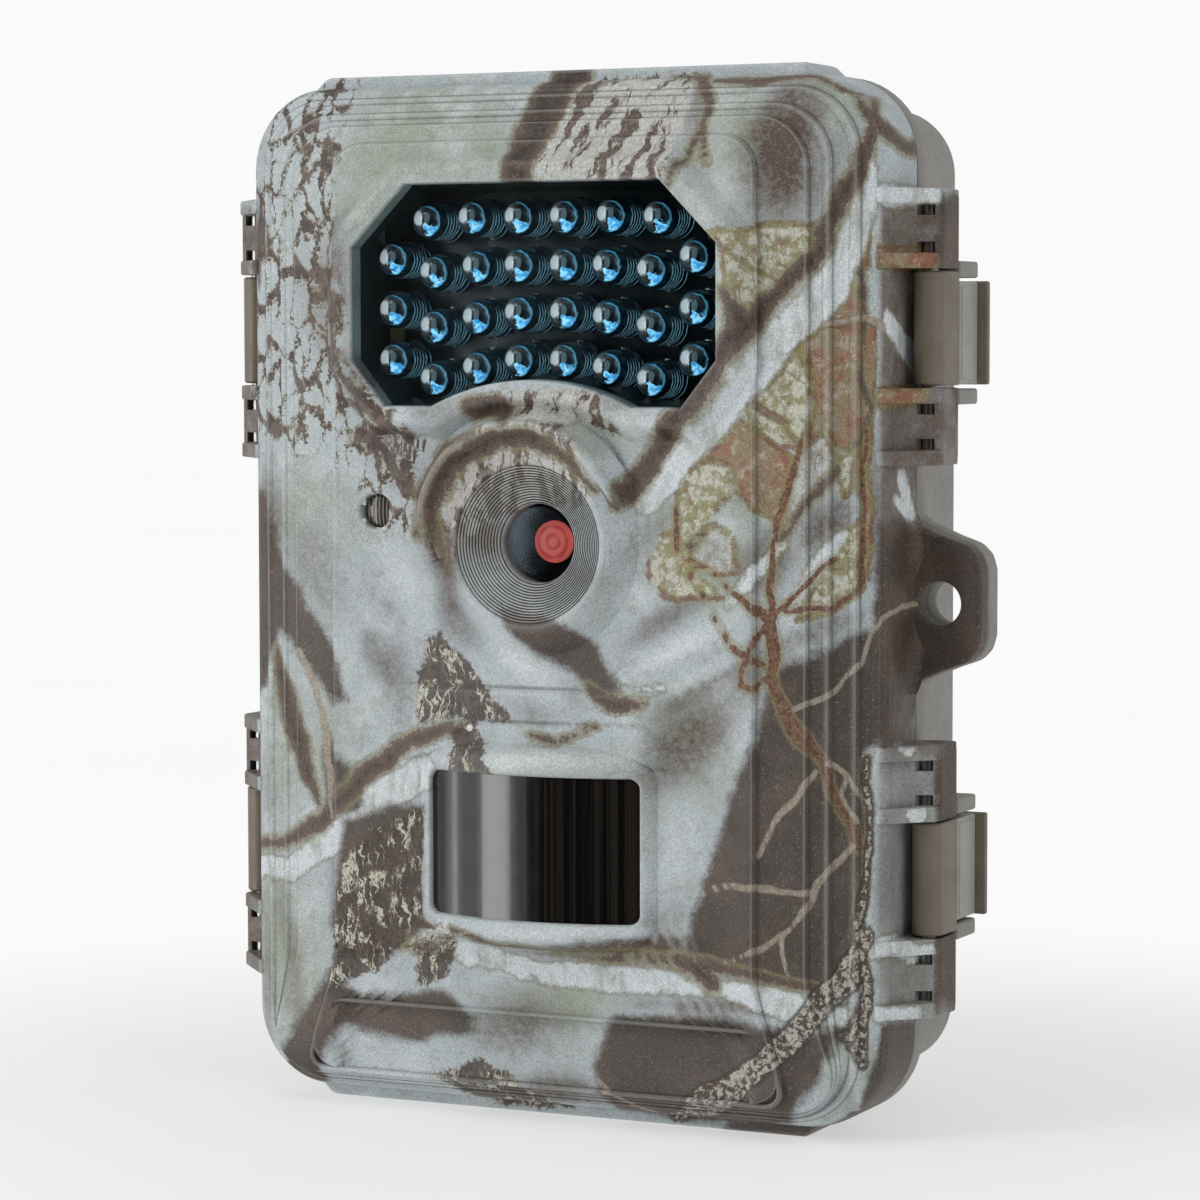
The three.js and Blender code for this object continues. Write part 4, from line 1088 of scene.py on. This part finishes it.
def cover_face():
    rows = dense_rings(FACE_RINGS, 0.34) + dense_rings([FACE_RINGS[-1], CENTRE_RING], 0.34)[1:]
    rings = []
    for half_w, top, bottom, radius, y in rows:
        outline = rounded_rect(half_w, top, bottom, radius, 30, 300, 170)
        flat = 1 if y <= -6.1 else smooth((44.5 - half_w) / 8)
        outline = flare(outline, flat)
        raised = relief(outline) if y < -4 else 0.0
        rings.append(with_y(outline, y - raised))
    return without(loft(rings), lambda p: face_openings(p, 1.2))


def cover_inside():
    """The shell's inner wall and floor, seen when the case is open."""
    table = [
        (48.0, 70.2, 70.2, 11.5, 11.0), (45.5, 67.8, 67.8, 9.3, 11.0), (45.2, 67.6, 67.6, 9.2, 10.6),
        (44.9, 67.4, 67.4, 9.0, 3.0), (43.8, 67.0, 67.0, 8.4, 0.8), (39.0, 65.8, 65.8, 6.0, -1.8),
        (32.0, 64.2, 64.2, 4.0, -3.8), (0.004, 32.2, 32.2, 0.003, -3.8),
    ]
    rings = [with_y(rounded_rect(w, t, b, r, 8, 40, 24), y) for w, t, b, r, y in dense_rings(table, 1.4)]
    return without(loft(rings), lambda p: face_openings(p, 0.4))


def end_ridge(sign):
    """Flat ridge along the cover's top or bottom edge."""
    table = [(RIDGE_W + 2.2, 69.0), (RIDGE_W + 0.4, 70.6), (RIDGE_W - 0.4, 71.35), (RIDGE_W - 1.2, HALF_H - 0.01)]
    outline = [(x, sign * z) for x, z in across_and_back(table)]
    return rounded(prism_y(outline, 1.6, COVER_BACK), 0.35, 1.2)


def window_bezel():
    """Frame round the lamp window: a slope up from the plateau, a crest and a slope in to the pane."""
    outline = window_outline()
    profile = [
        (4.9, -5.9), (4.4, -6.3), (3.9, -6.75), (3.0, -8.15), (2.7, -8.5), (2.35, -8.72), (1.9, -8.8), (1.3, -8.74),
        (0.5, -8.56), (0.16, -8.46), (0.0, -8.25), (-0.06, -7.9), (-0.1, -5.6),
    ]
    return loft([with_y(offset_outline(outline, d), y) for d, y in profile])


def lens_cone():
    """Boss round the lens with a bowl of fine turned ribs."""
    profile = [(15.6, -5.9), (15.0, -6.4), (13.2, -7.9), (12.3, -8.8), (11.7, -9.15), (11.1, -9.25), (10.8, -9.1)]
    for k in range(RIBS):
        for t, lift in ((0.0, 0.0), (0.28, 0.17), (0.55, 0.2), (0.8, 0.03)):
            s = (k + t) / RIBS
            profile.append((BOWL_OUTER_R - 5.0 * s, -8.95 + 3.0 * s - lift))
    profile += [(5.5, -5.9), (5.42, -5.7), (5.38, -3.0)]
    return lathe_y(profile, 0, LENS_Z, 220)


def visor():
    """Arched brow over the lens: the bowl runs on forward to a thin lip, then falls away outside."""
    points = []
    lens_centre = np.array([0.0, LENS_Z])
    for t in np.arange(121) / 120:
        a = math.radians(198 - 190 * t)
        rise = float(smooth(np.array(min(t, 1 - t) / 0.16))) ** 0.7
        across = np.array([math.cos(a), math.sin(a) * BROW_SQUASH])
        lip = np.array([BROW_X, BROW_Z]) + 14.5 * across
        inward = lens_centre - lip
        crest = lens_centre - inward / np.linalg.norm(inward) * 11.0
        top = -8.6 - 2.15 * rise
        ring = []
        for u in (0.0, 0.2, 0.4, 0.6, 0.8, 0.94):
            at = crest + u * (lip - 0.75 * across - crest)
            ring.append((at[0], -9.05 + (top + 0.5 + 9.05) * u ** 1.4 * rise + (1 - rise) * u * 1.2, at[1]))
        for out, drop in ((-0.62, 0.16), (-0.4, 0.02), (0.0, 0.0), (0.35, 0.06), (0.6, 0.25), (0.8, 0.6), (1.15, 1.5),
                          (1.7, 2.6), (2.4, 3.6)):
            at = lip + out * across
            ring.append((at[0], min(top + drop + (1 - rise) * 1.2, -5.9), at[1]))
        points.append(ring)
    return loft(points, close=False)


def brow_flank():
    """Sloped apron between the visor and the lamp window's frame."""
    rings = []
    for k in range(41):
        a = math.radians(150 - 120 * k / 40)
        fade = math.sin(math.pi * k / 40) ** 0.5
        ring = []
        for t, lift in ((0, 1.3), (0.25, 1.5), (0.6, 0.9), (1.0, -0.1)):
            r = 15.0 + 3.6 * t * fade
            z = BROW_Z + r * math.sin(a) * BROW_SQUASH
            ring.append((BROW_X + r * math.cos(a), PLATEAU - lift * fade - 0.1, z))
        rings.append(ring)
    return loft(rings, close=False)


def motion_bezel():
    """Bowed frame round the motion sensor's window."""
    rings = []
    steps = [(-0.1, 3.5), (-0.1, 1.0), (0.0, 0.45), (0.18, 0.14), (0.5, 0.0), (1.2, 0.0), (1.9, 0.06),
             (2.5, 0.35), (3.0, 0.85), (3.5, 1.7), (3.9, 2.8), (4.2, 4.2)]
    for grow, sink in steps:
        radius = 1.5 + max(0.0, grow)
        outline = rounded_rect(PIR_W + grow * 0.85, PIR_H + grow, PIR_H + grow, radius, 10, 60, 100)
        bow = FRONT + PIR_R + 1.2 - np.sqrt((PIR_R + 1.2) ** 2 - outline[:, 0] ** 2)
        y = np.minimum(bow + sink, PLATEAU + 0.6 + np.maximum(0, sink - 1.6))
        rings.append(with_y(outline + [0, PIR_Z], y))
    return loft(rings)


def plate_border():
    """Thin raised line round the blank name plate."""
    rings = []
    for grow, lift in ((-0.34, -0.4), (-0.2, 0.22), (0.0, 0.34), (0.2, 0.22), (0.36, -0.3)):
        outline = rounded_rect(PLATE_W + grow, PLATE_H + grow, PLATE_H + grow, 2.4 + grow, 8, 14, 60)
        rings.append(with_y(flare(outline + [0, PLATE_Z], 1.0), PLATEAU - lift + 0.34))
    return loft(rings)


def sensor_lip():
    profile = [(4.6, -5.9), (4.0, -6.0), (3.4, -6.06), (2.8, -6.14), (2.5, -5.98), (2.4, -5.6), (2.38, -3.6)]
    return lathe_y(profile, SENSOR_X, SENSOR_Z, 56)


# ---- ears, tab ----
def ear(side, low, high):
    """Two ribs, a hollowed web between them and an outer strip that carries the pin."""
    rib = [(46.0, 0.6), (46.8, -0.2), (47.3, -0.15), (53.1, 6.0), (53.4, 6.7), (53.4, EAR_BACK), (50.4, EAR_BACK),
           (47.3, COVER_BACK - 0.1), (46.0, COVER_BACK - 0.1)]
    hollow = [(47.5, 1.6), (47.9, 2.7), (48.6, 3.9), (49.5, 4.8), (50.2, 5.3)]
    outer = [(52.4, 6.3), (52.8, 6.35), (53.2, 6.7), (53.37, 7.2), (53.37, EAR_BACK - 0.03), (50.43, EAR_BACK - 0.03),
             (47.33, COVER_BACK - 0.13), (46.03, COVER_BACK - 0.13), (46.03, 1.6)]
    web = hollow + [(51.2, 5.8)] + outer
    notched = hollow + [(50.2, 9.2), (52.4, 9.2)] + outer
    slot_low, slot_high = low + RIB_T + 0.1, high - RIB_T - 0.1
    slot, overlap = 1.4, 0.004
    part = merged([rounded(prism_z(outline, z0, z1), bevel, 0.8) for outline, z0, z1, bevel in (
        (rib, low, low + RIB_T, 0.5),
        (rib, high - RIB_T, high, 0.5),
        (web, slot_low + slot, slot_high - slot, 0.0),
        (notched, slot_low, slot_low + slot + overlap, 0.0),
        (notched, slot_high - slot - overlap, slot_high, 0.0),
        (web, low + 1.0, slot_low + overlap, 0.0),
        (web, slot_high - overlap, high - 1.0, 0.0),
    )])
    return part if side > 0 else mirrored(part)


def tab(front, back, start_x):
    """One layer of the padlock tab, turned about its hole."""
    upper = [(46.0, 12.6), (48.4, 10.6), (52.5, 8.9), (55.6, 7.8), (57.0, 6.4), (57.6, 4.4)]
    outline = np.array([(x, -z) for x, z in upper] + upper[::-1])
    edge = 0.7
    count = 220
    a = np.linspace(-math.pi, math.pi, count, endpoint=False)
    reach = np.full(count, 99.0)
    for p, q in zip(outline, np.roll(outline, -1, 0)):
        p, q = p - [HOLE_X, 0], q - [HOLE_X, 0]
        cross = np.cos(a) * (q - p)[1] - np.sin(a) * (q - p)[0]
        with np.errstate(divide="ignore", invalid="ignore"):
            t = (p[0] * (q - p)[1] - p[1] * (q - p)[0]) / cross
            s = (p[0] * np.sin(a) - p[1] * np.cos(a)) / cross
        hit = (t > 0) & (s >= -1e-6) & (s <= 1 + 1e-6)
        reach = np.where(hit, np.minimum(reach, t), reach)
    for _ in range(3):
        reach = (np.roll(reach, 1) + reach + np.roll(reach, -1)) / 3
    rings = []

    def ring(radii, y):
        x = np.clip(HOLE_X + radii * np.cos(a), start_x, TAB_OUT)
        rings.append(np.stack([x, np.full(count, y), radii * np.sin(a)], 1))

    for grow, y in ((0, back), (0, front + 0.5), (0.12, front + 0.15), (0.4, front)):
        ring(np.full(count, HOLE_R + grow), y)
    for t in np.linspace(0.12, 1, 9):
        ring(HOLE_R + 0.4 + t * (reach - HOLE_R - 0.4 - edge), front)
    for k in range(1, 5):
        b = math.pi / 2 * k / 4
        ring(reach - edge * (1 - math.sin(b)), front + edge * (1 - math.cos(b)))
    for t in np.linspace(0.3, 1, 4):
        ring(reach, front + edge + t * (back - front - edge))
    ring(HOLE_R + 0.5 * (reach - HOLE_R), back)
    ring(np.full(count, HOLE_R), back)
    return loft(rings)


def tab_root():
    """Concave fillet between the cover's side and the tab, narrow beside the hole."""
    rings = []
    for z in np.linspace(-12.2, 12.2, 60):
        taper = math.sqrt(max(0.0, 1 - (z / 12.6) ** 2))
        reach = taper * (0.55 + 2.1 * float(smooth((abs(z) - 2.6) / 4.5)))
        curve = []
        for k in range(11):
            b = math.pi / 2 * k / 10
            x = 47.9 + reach * (1 - math.sin(b))
            y = 9.86 - 4.6 * taper * (1 - math.cos(b))
            curve.append((x, y, z))
        rings.append(curve)
    return loft(rings, close=False)


# ---- rear half ----
def outline_loft(rows, per_corner=14, per_side=24, per_end=18):
    return loft([with_y(rounded_rect(w, h, h, r, per_corner, per_side, per_end), y) for w, h, r, y in rows])


def rear_shell():
    """Tray: outside from the mouth to the back and the battery bulge."""
    outside = [
        (45.4, 67.6, 9.0, REAR_FRONT + 0.1), (47.6, 69.8, 11.1, REAR_FRONT + 0.02),
        (47.9, 70.1, 11.4, REAR_FRONT + 0.15), (RIM_W, RIM_H, RIM_R, REAR_FRONT + 0.4),
        (RIM_W, RIM_H, RIM_R, FLANGE_BACK - 0.4),
        (47.9, 70.1, 11.4, FLANGE_BACK - 0.1), (47.6, 69.8, 11.1, FLANGE_BACK), (45.0, 68.0, 10.0, FLANGE_BACK + 0.05),
        (44.6, 67.6, 9.7, FLANGE_BACK + 0.3), (BODY_W, BODY_H, 9.5, FLANGE_BACK + 0.9), (44.0, 67.0, 9.2, 35.8),
        (43.85, 66.85, 9.1, 36.5), (43.5, 66.5, 8.9, 37.0), (43.0, 66.0, 8.6, 37.35), (42.2, 65.2, 8.1, BODY_BACK),
        (40.2, 63.2, 6.8, BODY_BACK), (37.4, 58.4, 6.6, BODY_BACK), (36.6, 57.6, 6.3, 37.7), (36.1, 57.1, 6.1, 38.4),
        (35.7, 56.7, 6.0, 42.6), (35.3, 56.3, 5.8, 43.9), (34.6, 55.6, 5.4, 44.7), (33.6, 54.6, 4.9, HUMP_BACK),
        (10.0, 31.0, 2.0, HUMP_BACK), (0.004, 21.004, 0.003, HUMP_BACK),
    ]
    return outline_loft(outside)


def rear_inside():
    rows = [
        (45.4, 67.6, 9.0, REAR_FRONT + 0.1), (42.2, 65.2, 7.6, REAR_FRONT + 0.1), (42.0, 65.0, 7.5, REAR_FRONT + 0.4),
        (41.6, 64.6, 7.2, 34.4), (41.0, 64.0, 6.9, 35.0), (40.0, 63.0, 6.3, 35.2), (34.0, 55.0, 3.4, 35.2),
        (33.4, 54.4, 3.0, 35.5), (33.2, 54.2, 3.0, 42.8), (32.6, 53.6, 2.6, 43.1), (0.004, 21.004, 0.003, 43.1),
    ]
    return outline_loft(rows, 8, 12, 10)


def rear_details():
    """Divider, tripod boss, latch guards and beads, grip ribs."""
    parts = [
        rounded(box(-34, 34, 27.0, HUMP_BACK - 1.2, -1.0, 1.0), 0.3),
        rounded(box(-15, 15, 20.0, 37.0, 0.01 - HALF_H, -60), 0.8, None, 4),
    ]
    for z0 in (-47, 42):
        parts.append(rounded(box(-29, 29, HUMP_BACK - 1, BACK, z0, z0 + 5), 0.9, None, 4))
    for level in (-1, 1):
        for a, b, x1, y0, y1 in ((26.4, 28.5, 53.3, 13.4, 20.4), (43.3, 45.5, 53.3, 13.4, 20.4),
                                 (31.0, 41.0, 48.6, 15.5, 17.5)):
            z0, z1 = sorted((level * a, level * b))
            parts.append(rounded(box(BODY_W - 1.4, x1, y0, y1, z0, z1), 0.35))
    return merged(parts)


def strap_loop(x0):
    x1, reach = x0 + 7, 16.0
    return merged([
        rounded(box(x0, x1, BACK - 3, BACK, -reach - 4, reach + 4), 0.8, None, 4),
        rounded(box(x0, x1, HUMP_BACK - 0.5, BACK - 0.6, reach, reach + 4), 0.6),
        rounded(box(x0, x1, HUMP_BACK - 0.5, BACK - 0.6, -reach - 4, -reach), 0.6),
    ])


# ---- latches and hinges ----
def span(level):
    return (CLIP_LOW, CLIP_HIGH) if level > 0 else (-CLIP_HIGH, -CLIP_LOW)


def arm_span(level):
    """The clip's arm stops short of its barrel at the outer end."""
    low, high = span(level)
    return (low, high - 1.2) if level > 0 else (low + 1.2, high)


def knuckle(low, high, bore):
    """Barrel about the pin."""
    edge, steps = 0.25, 56
    profile = [(bore, low), (KNUCKLE_R - edge, low), (KNUCKLE_R, low + edge),
               (KNUCKLE_R, high - edge), (KNUCKLE_R - edge, high), (bore, high)]
    a = np.linspace(0, 2 * math.pi, steps, endpoint=False)
    return loft([np.stack([PIN_X + r * np.cos(a), PIN_Y + r * np.sin(a), np.full(steps, z)], 1) for r, z in profile])


def latch(level):
    cheek = [(49.35, PIN_Y), (53.35, PIN_Y), (53.35, 13.1), (51.3, 13.1), (49.35, 12.4)]
    arm = [(49.35, 12.0), (51.3, 12.0), (51.3, 20.5), (54.6, 20.5), (54.6, 21.6), (49.35, 21.6)]
    return merged([knuckle(*span(level), 0.2), rounded(prism_z(cheek, *span(level)), 0.22),
                   rounded(prism_z(arm, *arm_span(level)), 0.3)])


def latch_pad(level):
    low, high = arm_span(level)
    low, high = low + 0.1, high - 0.1
    return merged([rounded(box(51.35, 53.25, 13.4, 20.3, low, high), 0.2),
                   rounded(box(53.0, 53.4, 14.0, 19.7, low + 0.6, high - 0.6), 0.15)])


def hinge_leaf(level):
    leaf = [(51.3, PIN_Y), (53.35, PIN_Y), (53.35, 21.0), (BODY_W, 21.0), (BODY_W, 15.1), (51.3, 15.1)]
    return mirrored(merged([knuckle(*span(level), 1.2), rounded(prism_z(leaf, *span(level)), 0.3)]))


# ---- lamps ----
LAMP_ROWS = [
    [(3.4, 51.6), (10.4, 51.6), (17.3, 51.3)],
    [(3.4, 45.1), (9.8, 45.0), (16.3, 44.3), (22.6, 46.1)],
    [(3.4, 38.7), (9.8, 38.1), (16.3, 36.9), (22.6, 39.2)],
    [(3.4, 32.3), (9.8, 31.3), (16.3, 29.8), (22.6, 32.4)],
]
LAMP_R = 2.56
LAMP_TIP = -5.9


def lamps(material):
    """Thirty lamp heads in one mesh, each vertex keeping its place within its own lamp."""
    dome = [(LAMP_R * math.sin(a), LAMP_R * (1 - math.cos(a))) for a in np.linspace(0.04, math.pi / 2, 11)]
    body = [(LAMP_R, y) for y in (3.0, 3.7, 4.4, 5.1, 5.8, 6.4)] + [(LAMP_R + 0.25, 6.5), (LAMP_R + 0.25, 7.6)]
    profile = [(r, LAMP_TIP + y) for r, y in dome + body]
    places = [(side * x, z) for row in LAMP_ROWS for x, z in row for side in (-1, 1)]
    parts, local = [], []
    for index, (x, z) in enumerate(places):
        part = lathe_y(profile, x, z, 36)
        parts.append(part)
        seed = np.full((len(part[0]), 1), math.fmod(index * 0.618, 1.0))
        local.append(np.hstack([part[0] - (x, LAMP_TIP, z), seed]))
    obj = piece("lamp_heads", merged(parts), material, "cover", TO_FRONT, CRISP, "lamp_array")
    for name, values in zip(LAMP_ATTRIBUTES, np.concatenate(local).T):
        store(obj.data, name, values)


def refined(node, material, body, edge):
    """A CAD node with rounded edges and smooth round faces, standing for the plain one."""
    mesh = frame["nodes"][node].data.copy()
    bm = bmesh.new()
    bm.from_mesh(mesh)
    bmesh.ops.remove_doubles(bm, verts=bm.verts, dist=2e-6)
    bmesh.ops.dissolve_limit(bm, angle_limit=math.radians(1), verts=bm.verts, edges=bm.edges)
    sharp = [e for e in bm.edges if len(e.link_faces) == 2 and e.calc_face_angle(0) > math.radians(50)]
    bmesh.ops.bevel(bm, geom=sharp, offset=edge * MM, segments=3, profile=0.5, affect="EDGES", clamp_overlap=True)
    bm.to_mesh(mesh)
    bm.free()
    mesh.materials.clear()
    mesh.materials.append(material)
    smooth_by_angle(mesh, 30)
    obj = bpy.data.objects.new(node + "_finished", mesh)
    bpy.context.scene.collection.objects.link(obj)
    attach(obj, body)
    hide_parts(node)


# ---- studio ----
def area_light(name, azimuth, elevation, distance, width, height, radiance):
    """Rectangular soft light at an angle from the front (-Y), positive to the right, facing the part."""
    a, e = math.radians(azimuth), math.radians(elevation)
    data = bpy.data.lights.new(name, "AREA")
    data.shape = "RECTANGLE"
    data.size, data.size_y = width, height
    data.energy = radiance * math.pi * width * height
    light = bpy.data.objects.new(name, data)
    where = Vector((math.sin(a) * math.cos(e), -math.cos(a) * math.cos(e), math.sin(e))) * distance
    light.location = Vector(place((0, 0, 0))) + where
    light.rotation_euler = (-where).to_track_quat("-Z", "Y").to_euler()
    bpy.context.scene.collection.objects.link(light)


def surroundings():
    """White to the camera; to everything else a dim room, brighter behind the part and overhead."""
    world = bpy.data.worlds.new("studio")
    bpy.context.scene.world = world
    world.use_nodes = True
    n = Nodes(world.node_tree)
    _, y, z = n.split(n.add("TexCoord", {}, "Generated"))
    strength = y.step(-0.9, -0.3, 0.02, 0.7).apply("MAXIMUM", z.step(0.1, 0.6, 0.0, 0.45))
    around = n.add("Background", {"Strength": strength})
    seen = n.add("Background", {"Color": "fafafa", "Strength": 1.0})
    on_camera = n.add("LightPath", {}, "Is Camera Ray")
    n.node("OutputWorld", {"Surface": n.blend(on_camera, around, seen)})


def floor_look():
    """Near-white floor that turns into a plain glow away from the part."""
    m = Look("floor")
    near = m.shell(m.mix(m.noise(0.01, 3).step(0.3, 0.7), "efefee", "f5f5f4"), 0.8, m.bump(m.noise(0.6, 3), 0.05))
    glow = m.add("Emission", {"Color": m.mix(m.noise(0.004, 2).step(0.3, 0.7), "f9f9f9", "fbfbfb")})
    x, y, _ = m.split(m.mm)
    away = (x * x + y * y).apply("SQRT")
    return m.finish(m.blend(away.step(60.0, 190.0, 0.55, 1.0), near, glow))


def studio():
    scene = bpy.context.scene
    scene.view_settings.view_transform = "Standard"
    surroundings()
    # name, azimuth, elevation, distance, width, height, radiance
    for row in (
        ("strip_left", -41, 2, 1.2, 0.3, 1.3, 4.9), ("wide_left", -47.5, 3, 1.3, 1.06, 1.3, 0.72),
        ("sliver_left", -63.5, 2, 1.2, 0.06, 1.3, 4.0), ("key", -36, 46, 1.3, 0.45, 0.4, 3.6),
        ("fill_right", 66, 24, 1.3, 0.5, 0.8, 1.6), ("top", 20, 84, 1.2, 0.9, 0.9, 0.5),
    ):
        area_light(*row)
    mesh = bpy.data.meshes.new("floor")
    size = 3.0
    mesh.from_pydata([(-size, -size, 0), (size, -size, 0), (size, size, 0), (-size, size, 0)], [], [(0, 1, 2, 3)])
    mesh.materials.append(floor_look())
    floor = bpy.data.objects.new("floor", mesh)
    floor.visible_glossy = False
    scene.collection.objects.link(floor)


# ---- building ----
TO_FRONT = (0, -1, 0)
TO_BACK = (0, 1, 0)


def build_cover_shell(camo, panel):
    """The camouflaged pieces, and the shell's inner wall."""
    ribbed = camouflage("camouflage_ribbed", True)
    # name, part, material, outward, crisp
    table = [
        ("cover_face", cover_face(), camo, TO_FRONT, 30),
        ("lamp_window_bezel", window_bezel(), camo, TO_FRONT, 24),
        ("lens_boss", lens_cone(), ribbed, TO_FRONT, 60),
        ("lens_visor", visor(), camo, TO_FRONT, 40),
        ("lens_apron", brow_flank(), camo, TO_FRONT, 50),
        ("motion_bezel", motion_bezel(), camo, TO_FRONT, 60),
        ("plate_border", plate_border(), camo, TO_FRONT, 60),
        ("sensor_lip", sensor_lip(), camo, TO_FRONT, 60),
        ("cover_ridge_top", end_ridge(1), camo, None, CRISP),
        ("cover_ridge_bottom", end_ridge(-1), camo, None, CRISP),
        ("tab_front", tab(9.8, 12.9, 46.0), camo, None, CRISP),
        ("tab_fillet", tab_root(), camo, (1, -1, 0), CRISP),
    ]
    for side_name, side in (("left", -1), ("right", 1)):
        ears = [ear(side, *band) for low, high in EAR_BANDS for band in ((low, high), (-high, -low))]
        table.append((f"ears_{side_name}", merged(ears), camo, None, 40))
    for name, part, material, outward, crisp in table:
        stands_for = "front_cover" if name == "cover_face" else None
        paint(piece(name, part, material, "cover", outward, crisp, stands_for))
    piece("cover_inside", cover_inside(), panel, "cover", TO_BACK)


def build_lamps():
    outline = window_outline()
    depths = ((-0.05, -7.9), (-0.1, -5.4), (-0.9, 0.0), (-1.2, 3.2))
    well = loft([with_y(offset_outline(outline, d), y) for d, y in depths])
    well_grey = plastic("lamp_well", "262b2a", "1c201f", 0.4, 2.0, 0.03, 0.15)
    piece("lamp_well", well, well_grey, "cover")
    lamps(lamp_glass())
    half = [(24.4, 27.2), (26.2, 31), (26.2, 49), (19.6, 55.4)]
    carrier = rounded(prism_y(half + [(-x, z) for x, z in reversed(half)], 1.6, 3.2), 0.1)
    dark_board = plastic("lamp_carrier", "0b0e10", "14181a", 0.35, 2.0, 0.03, 0.3)
    piece("lamp_carrier", carrier, dark_board, "cover")
    pads = merged([rounded(box(-26.0, -24.0, 0.5, 1.62, z0, z0 + 2.3), 0.15) for z0 in (39.6, 34.4)])
    gold = plastic("pad_gold", "9c8450", "7d673b", 0.3, 2.0, 0.02, 0.2)
    piece("lamp_carrier_pads", pads, gold, "cover")
    front = prism_y([tuple(p) for p in offset_outline(outline, -0.25)], -8.15, -7.3)
    window = pane("window_pane", "e6ecee", "ffffff", 0.07)
    piece("lamp_pane", front, window, "cover", None, 30, "lamp_window")


def build_optics(gloss_black):
    """The lens, the motion sensor's window and the light sensor's window."""
    lens = pane("lens_pane", "c9dadf", "dff3ff", 0.6, 0.22, 0.3)
    glass = lathe_y([(0.02, -6.0), (1.6, -5.97), (3.2, -5.86), (4.4, -5.7), (4.95, -5.5)], 0, LENS_Z, 64)
    piece("lens_front", glass, lens, "cover", TO_FRONT, 60, "lens_glass")
    disc = lathe_y([(0.02, -1.2), (1.5, -1.19), (2.6, -1.12), (2.85, -0.95), (2.9, -0.5), (0.02, -0.5)], 0, LENS_Z, 48)
    piece("lens_disc", disc, red_filter(), "cover", None, 60, "lens_filter")
    rows = []
    z = PIR_Z + np.linspace(-PIR_H + 0.1, PIR_H - 0.1, 24)
    for x in np.linspace(-PIR_W + 0.1, PIR_W - 0.1, 90):
        y = FRONT + 0.9 + PIR_R - math.sqrt(PIR_R ** 2 - x * x)
        rows.append(np.stack([np.full(24, x), np.full(24, y), z], 1))
    piece("motion_pane", loft(rows, close=False), gloss_black, "cover", TO_FRONT, 60, "motion_window")
    dish = lathe_y([(0.02, -5.25), (1.2, -5.2), (2.0, -5.0), (2.3, -4.6)], SENSOR_X, SENSOR_Z, 40)
    piece("light_sensor_pane", dish, ridged_pane(), "cover", TO_FRONT, CRISP, "light_sensor_window")


def build_rear(grey, tan):
    """The rear half with its fittings, the latches and the hinge leaves."""
    slot = "grey_shell"
    piece("rear_shell", rear_shell(), grey, "rear", TO_BACK, 40, "rear_housing")
    piece("rear_lining", rear_inside(), grey, "rear", TO_FRONT, 40)
    piece("rear_fittings", rear_details(), grey, "rear")
    piece("tab_rear", tab(13.3, 16.6, 44.2), grey, "rear", stands_for="padlock_tab")
    for name, x0 in (("left", -31), ("right", 24)):
        piece(f"strap_bar_{name}", strap_loop(x0), grey, "rear", stands_for=f"strap_loop_{name}")
    pad_grey = plastic("pad_grey", "9b9b97", "8f8f8a", 0.4, 3.0, 0.02, 0.05)
    for name, level in (("upper", 1), ("lower", -1)):
        for prefix, part, look, body, slot, node in (
            ("latch_clip", latch(level), tan, f"latch_{name}", "tan_latch", "latch"),
            ("latch_plate", latch_pad(level), pad_grey, f"latch_{name}", "grey_shell", "latch_pad"),
            ("hinge_plate", hinge_leaf(level), tan, "rear", "tan_latch", "hinge_leaf"),
        ):
            piece(f"{prefix}_{name}", part, look, body, stands_for=f"{node}_{name}")


def build_nodes(looks):
    """Materials for the CAD nodes, and rounded stand-ins for the ones seen when the case is open."""
    slots = {m["node"]: m["material_slot"] for m in frame["record"]["subparts"]}
    for name, node in frame["nodes"].items():
        node.data.materials.clear()
        node.data.materials.append(looks[slots[name]])
    frame["nodes"]["lens_barrel"].data.materials[0] = lens_throat()
    key_rubber = plastic("key_rubber", "5a5c5a", "50524f", 0.55, 3.0, 0.02, 0.06)
    card = plastic("memory_card_plastic", "24406b", "1d3558", 0.4, 3.0, 0.02, 0.08)
    cap = plastic("switch_cap", "a8a8a4", "9b9b97", 0.45, 3.0, 0.03, 0.05)
    # node, material, body, edge radius
    table = [(key, key_rubber, key, 0.35) for key in ("key_left", "key_right", "key_up", "key_down", "key_ok")]
    table += [
        ("mode_switch", cap, "mode_switch", 0.2), ("memory_card", card, "memory_card", 0.15),
        ("display", screen(), "cover", 0.15), ("inner_panel", panel_face(), "cover", 0.3),
    ]
    table += [(f"battery_{level}_{k}", looks["cell_wrap"], "rear", 0.3)
              for level in ("upper", "lower") for k in range(1, 5)]
    for node, material, body, edge in table:
        refined(node, material, body, edge)


def build():
    camo = camouflage()
    grey = plastic("grey_shell", "8a8883", "807f7a", 0.5, 3.6, 0.05, 0.07)
    tan = plastic("tan_latch", "766d60", "696053", 0.42, 3.0, 0.03, 0.08)
    black = plastic("black_plastic", "141414", "1d1d1d", 0.38, 3.0, 0.02, 0.2)
    panel = plastic("panel", "3b3b39", "444442", 0.6, 4.0, 0.05)
    rubber = plastic("rubber", "2b2b2b", "353535", 0.75, 5.0, 0.05, 0.15)
    gloss_black = gloss_sheet()
    build_cover_shell(camo, panel)
    build_lamps()
    build_optics(gloss_black)
    build_rear(grey, tan)
    build_nodes({
        "steel": metal("steel", "c4c4c2", "9a9a98"), "brass": metal("brass", "c09a55", "96743a"),
        "black_plastic": black, "board": circuit_board(), "rubber": rubber, "panel": panel,
        "cell_wrap": cell_sleeve(), "clear_pane": black, "grey_shell": grey, "tan_latch": tan,
        "gloss_black": gloss_black, "camo_shell": camo, "lamp_clear": black, "filter_red": black,
    })


make_camera()
studio()
build()
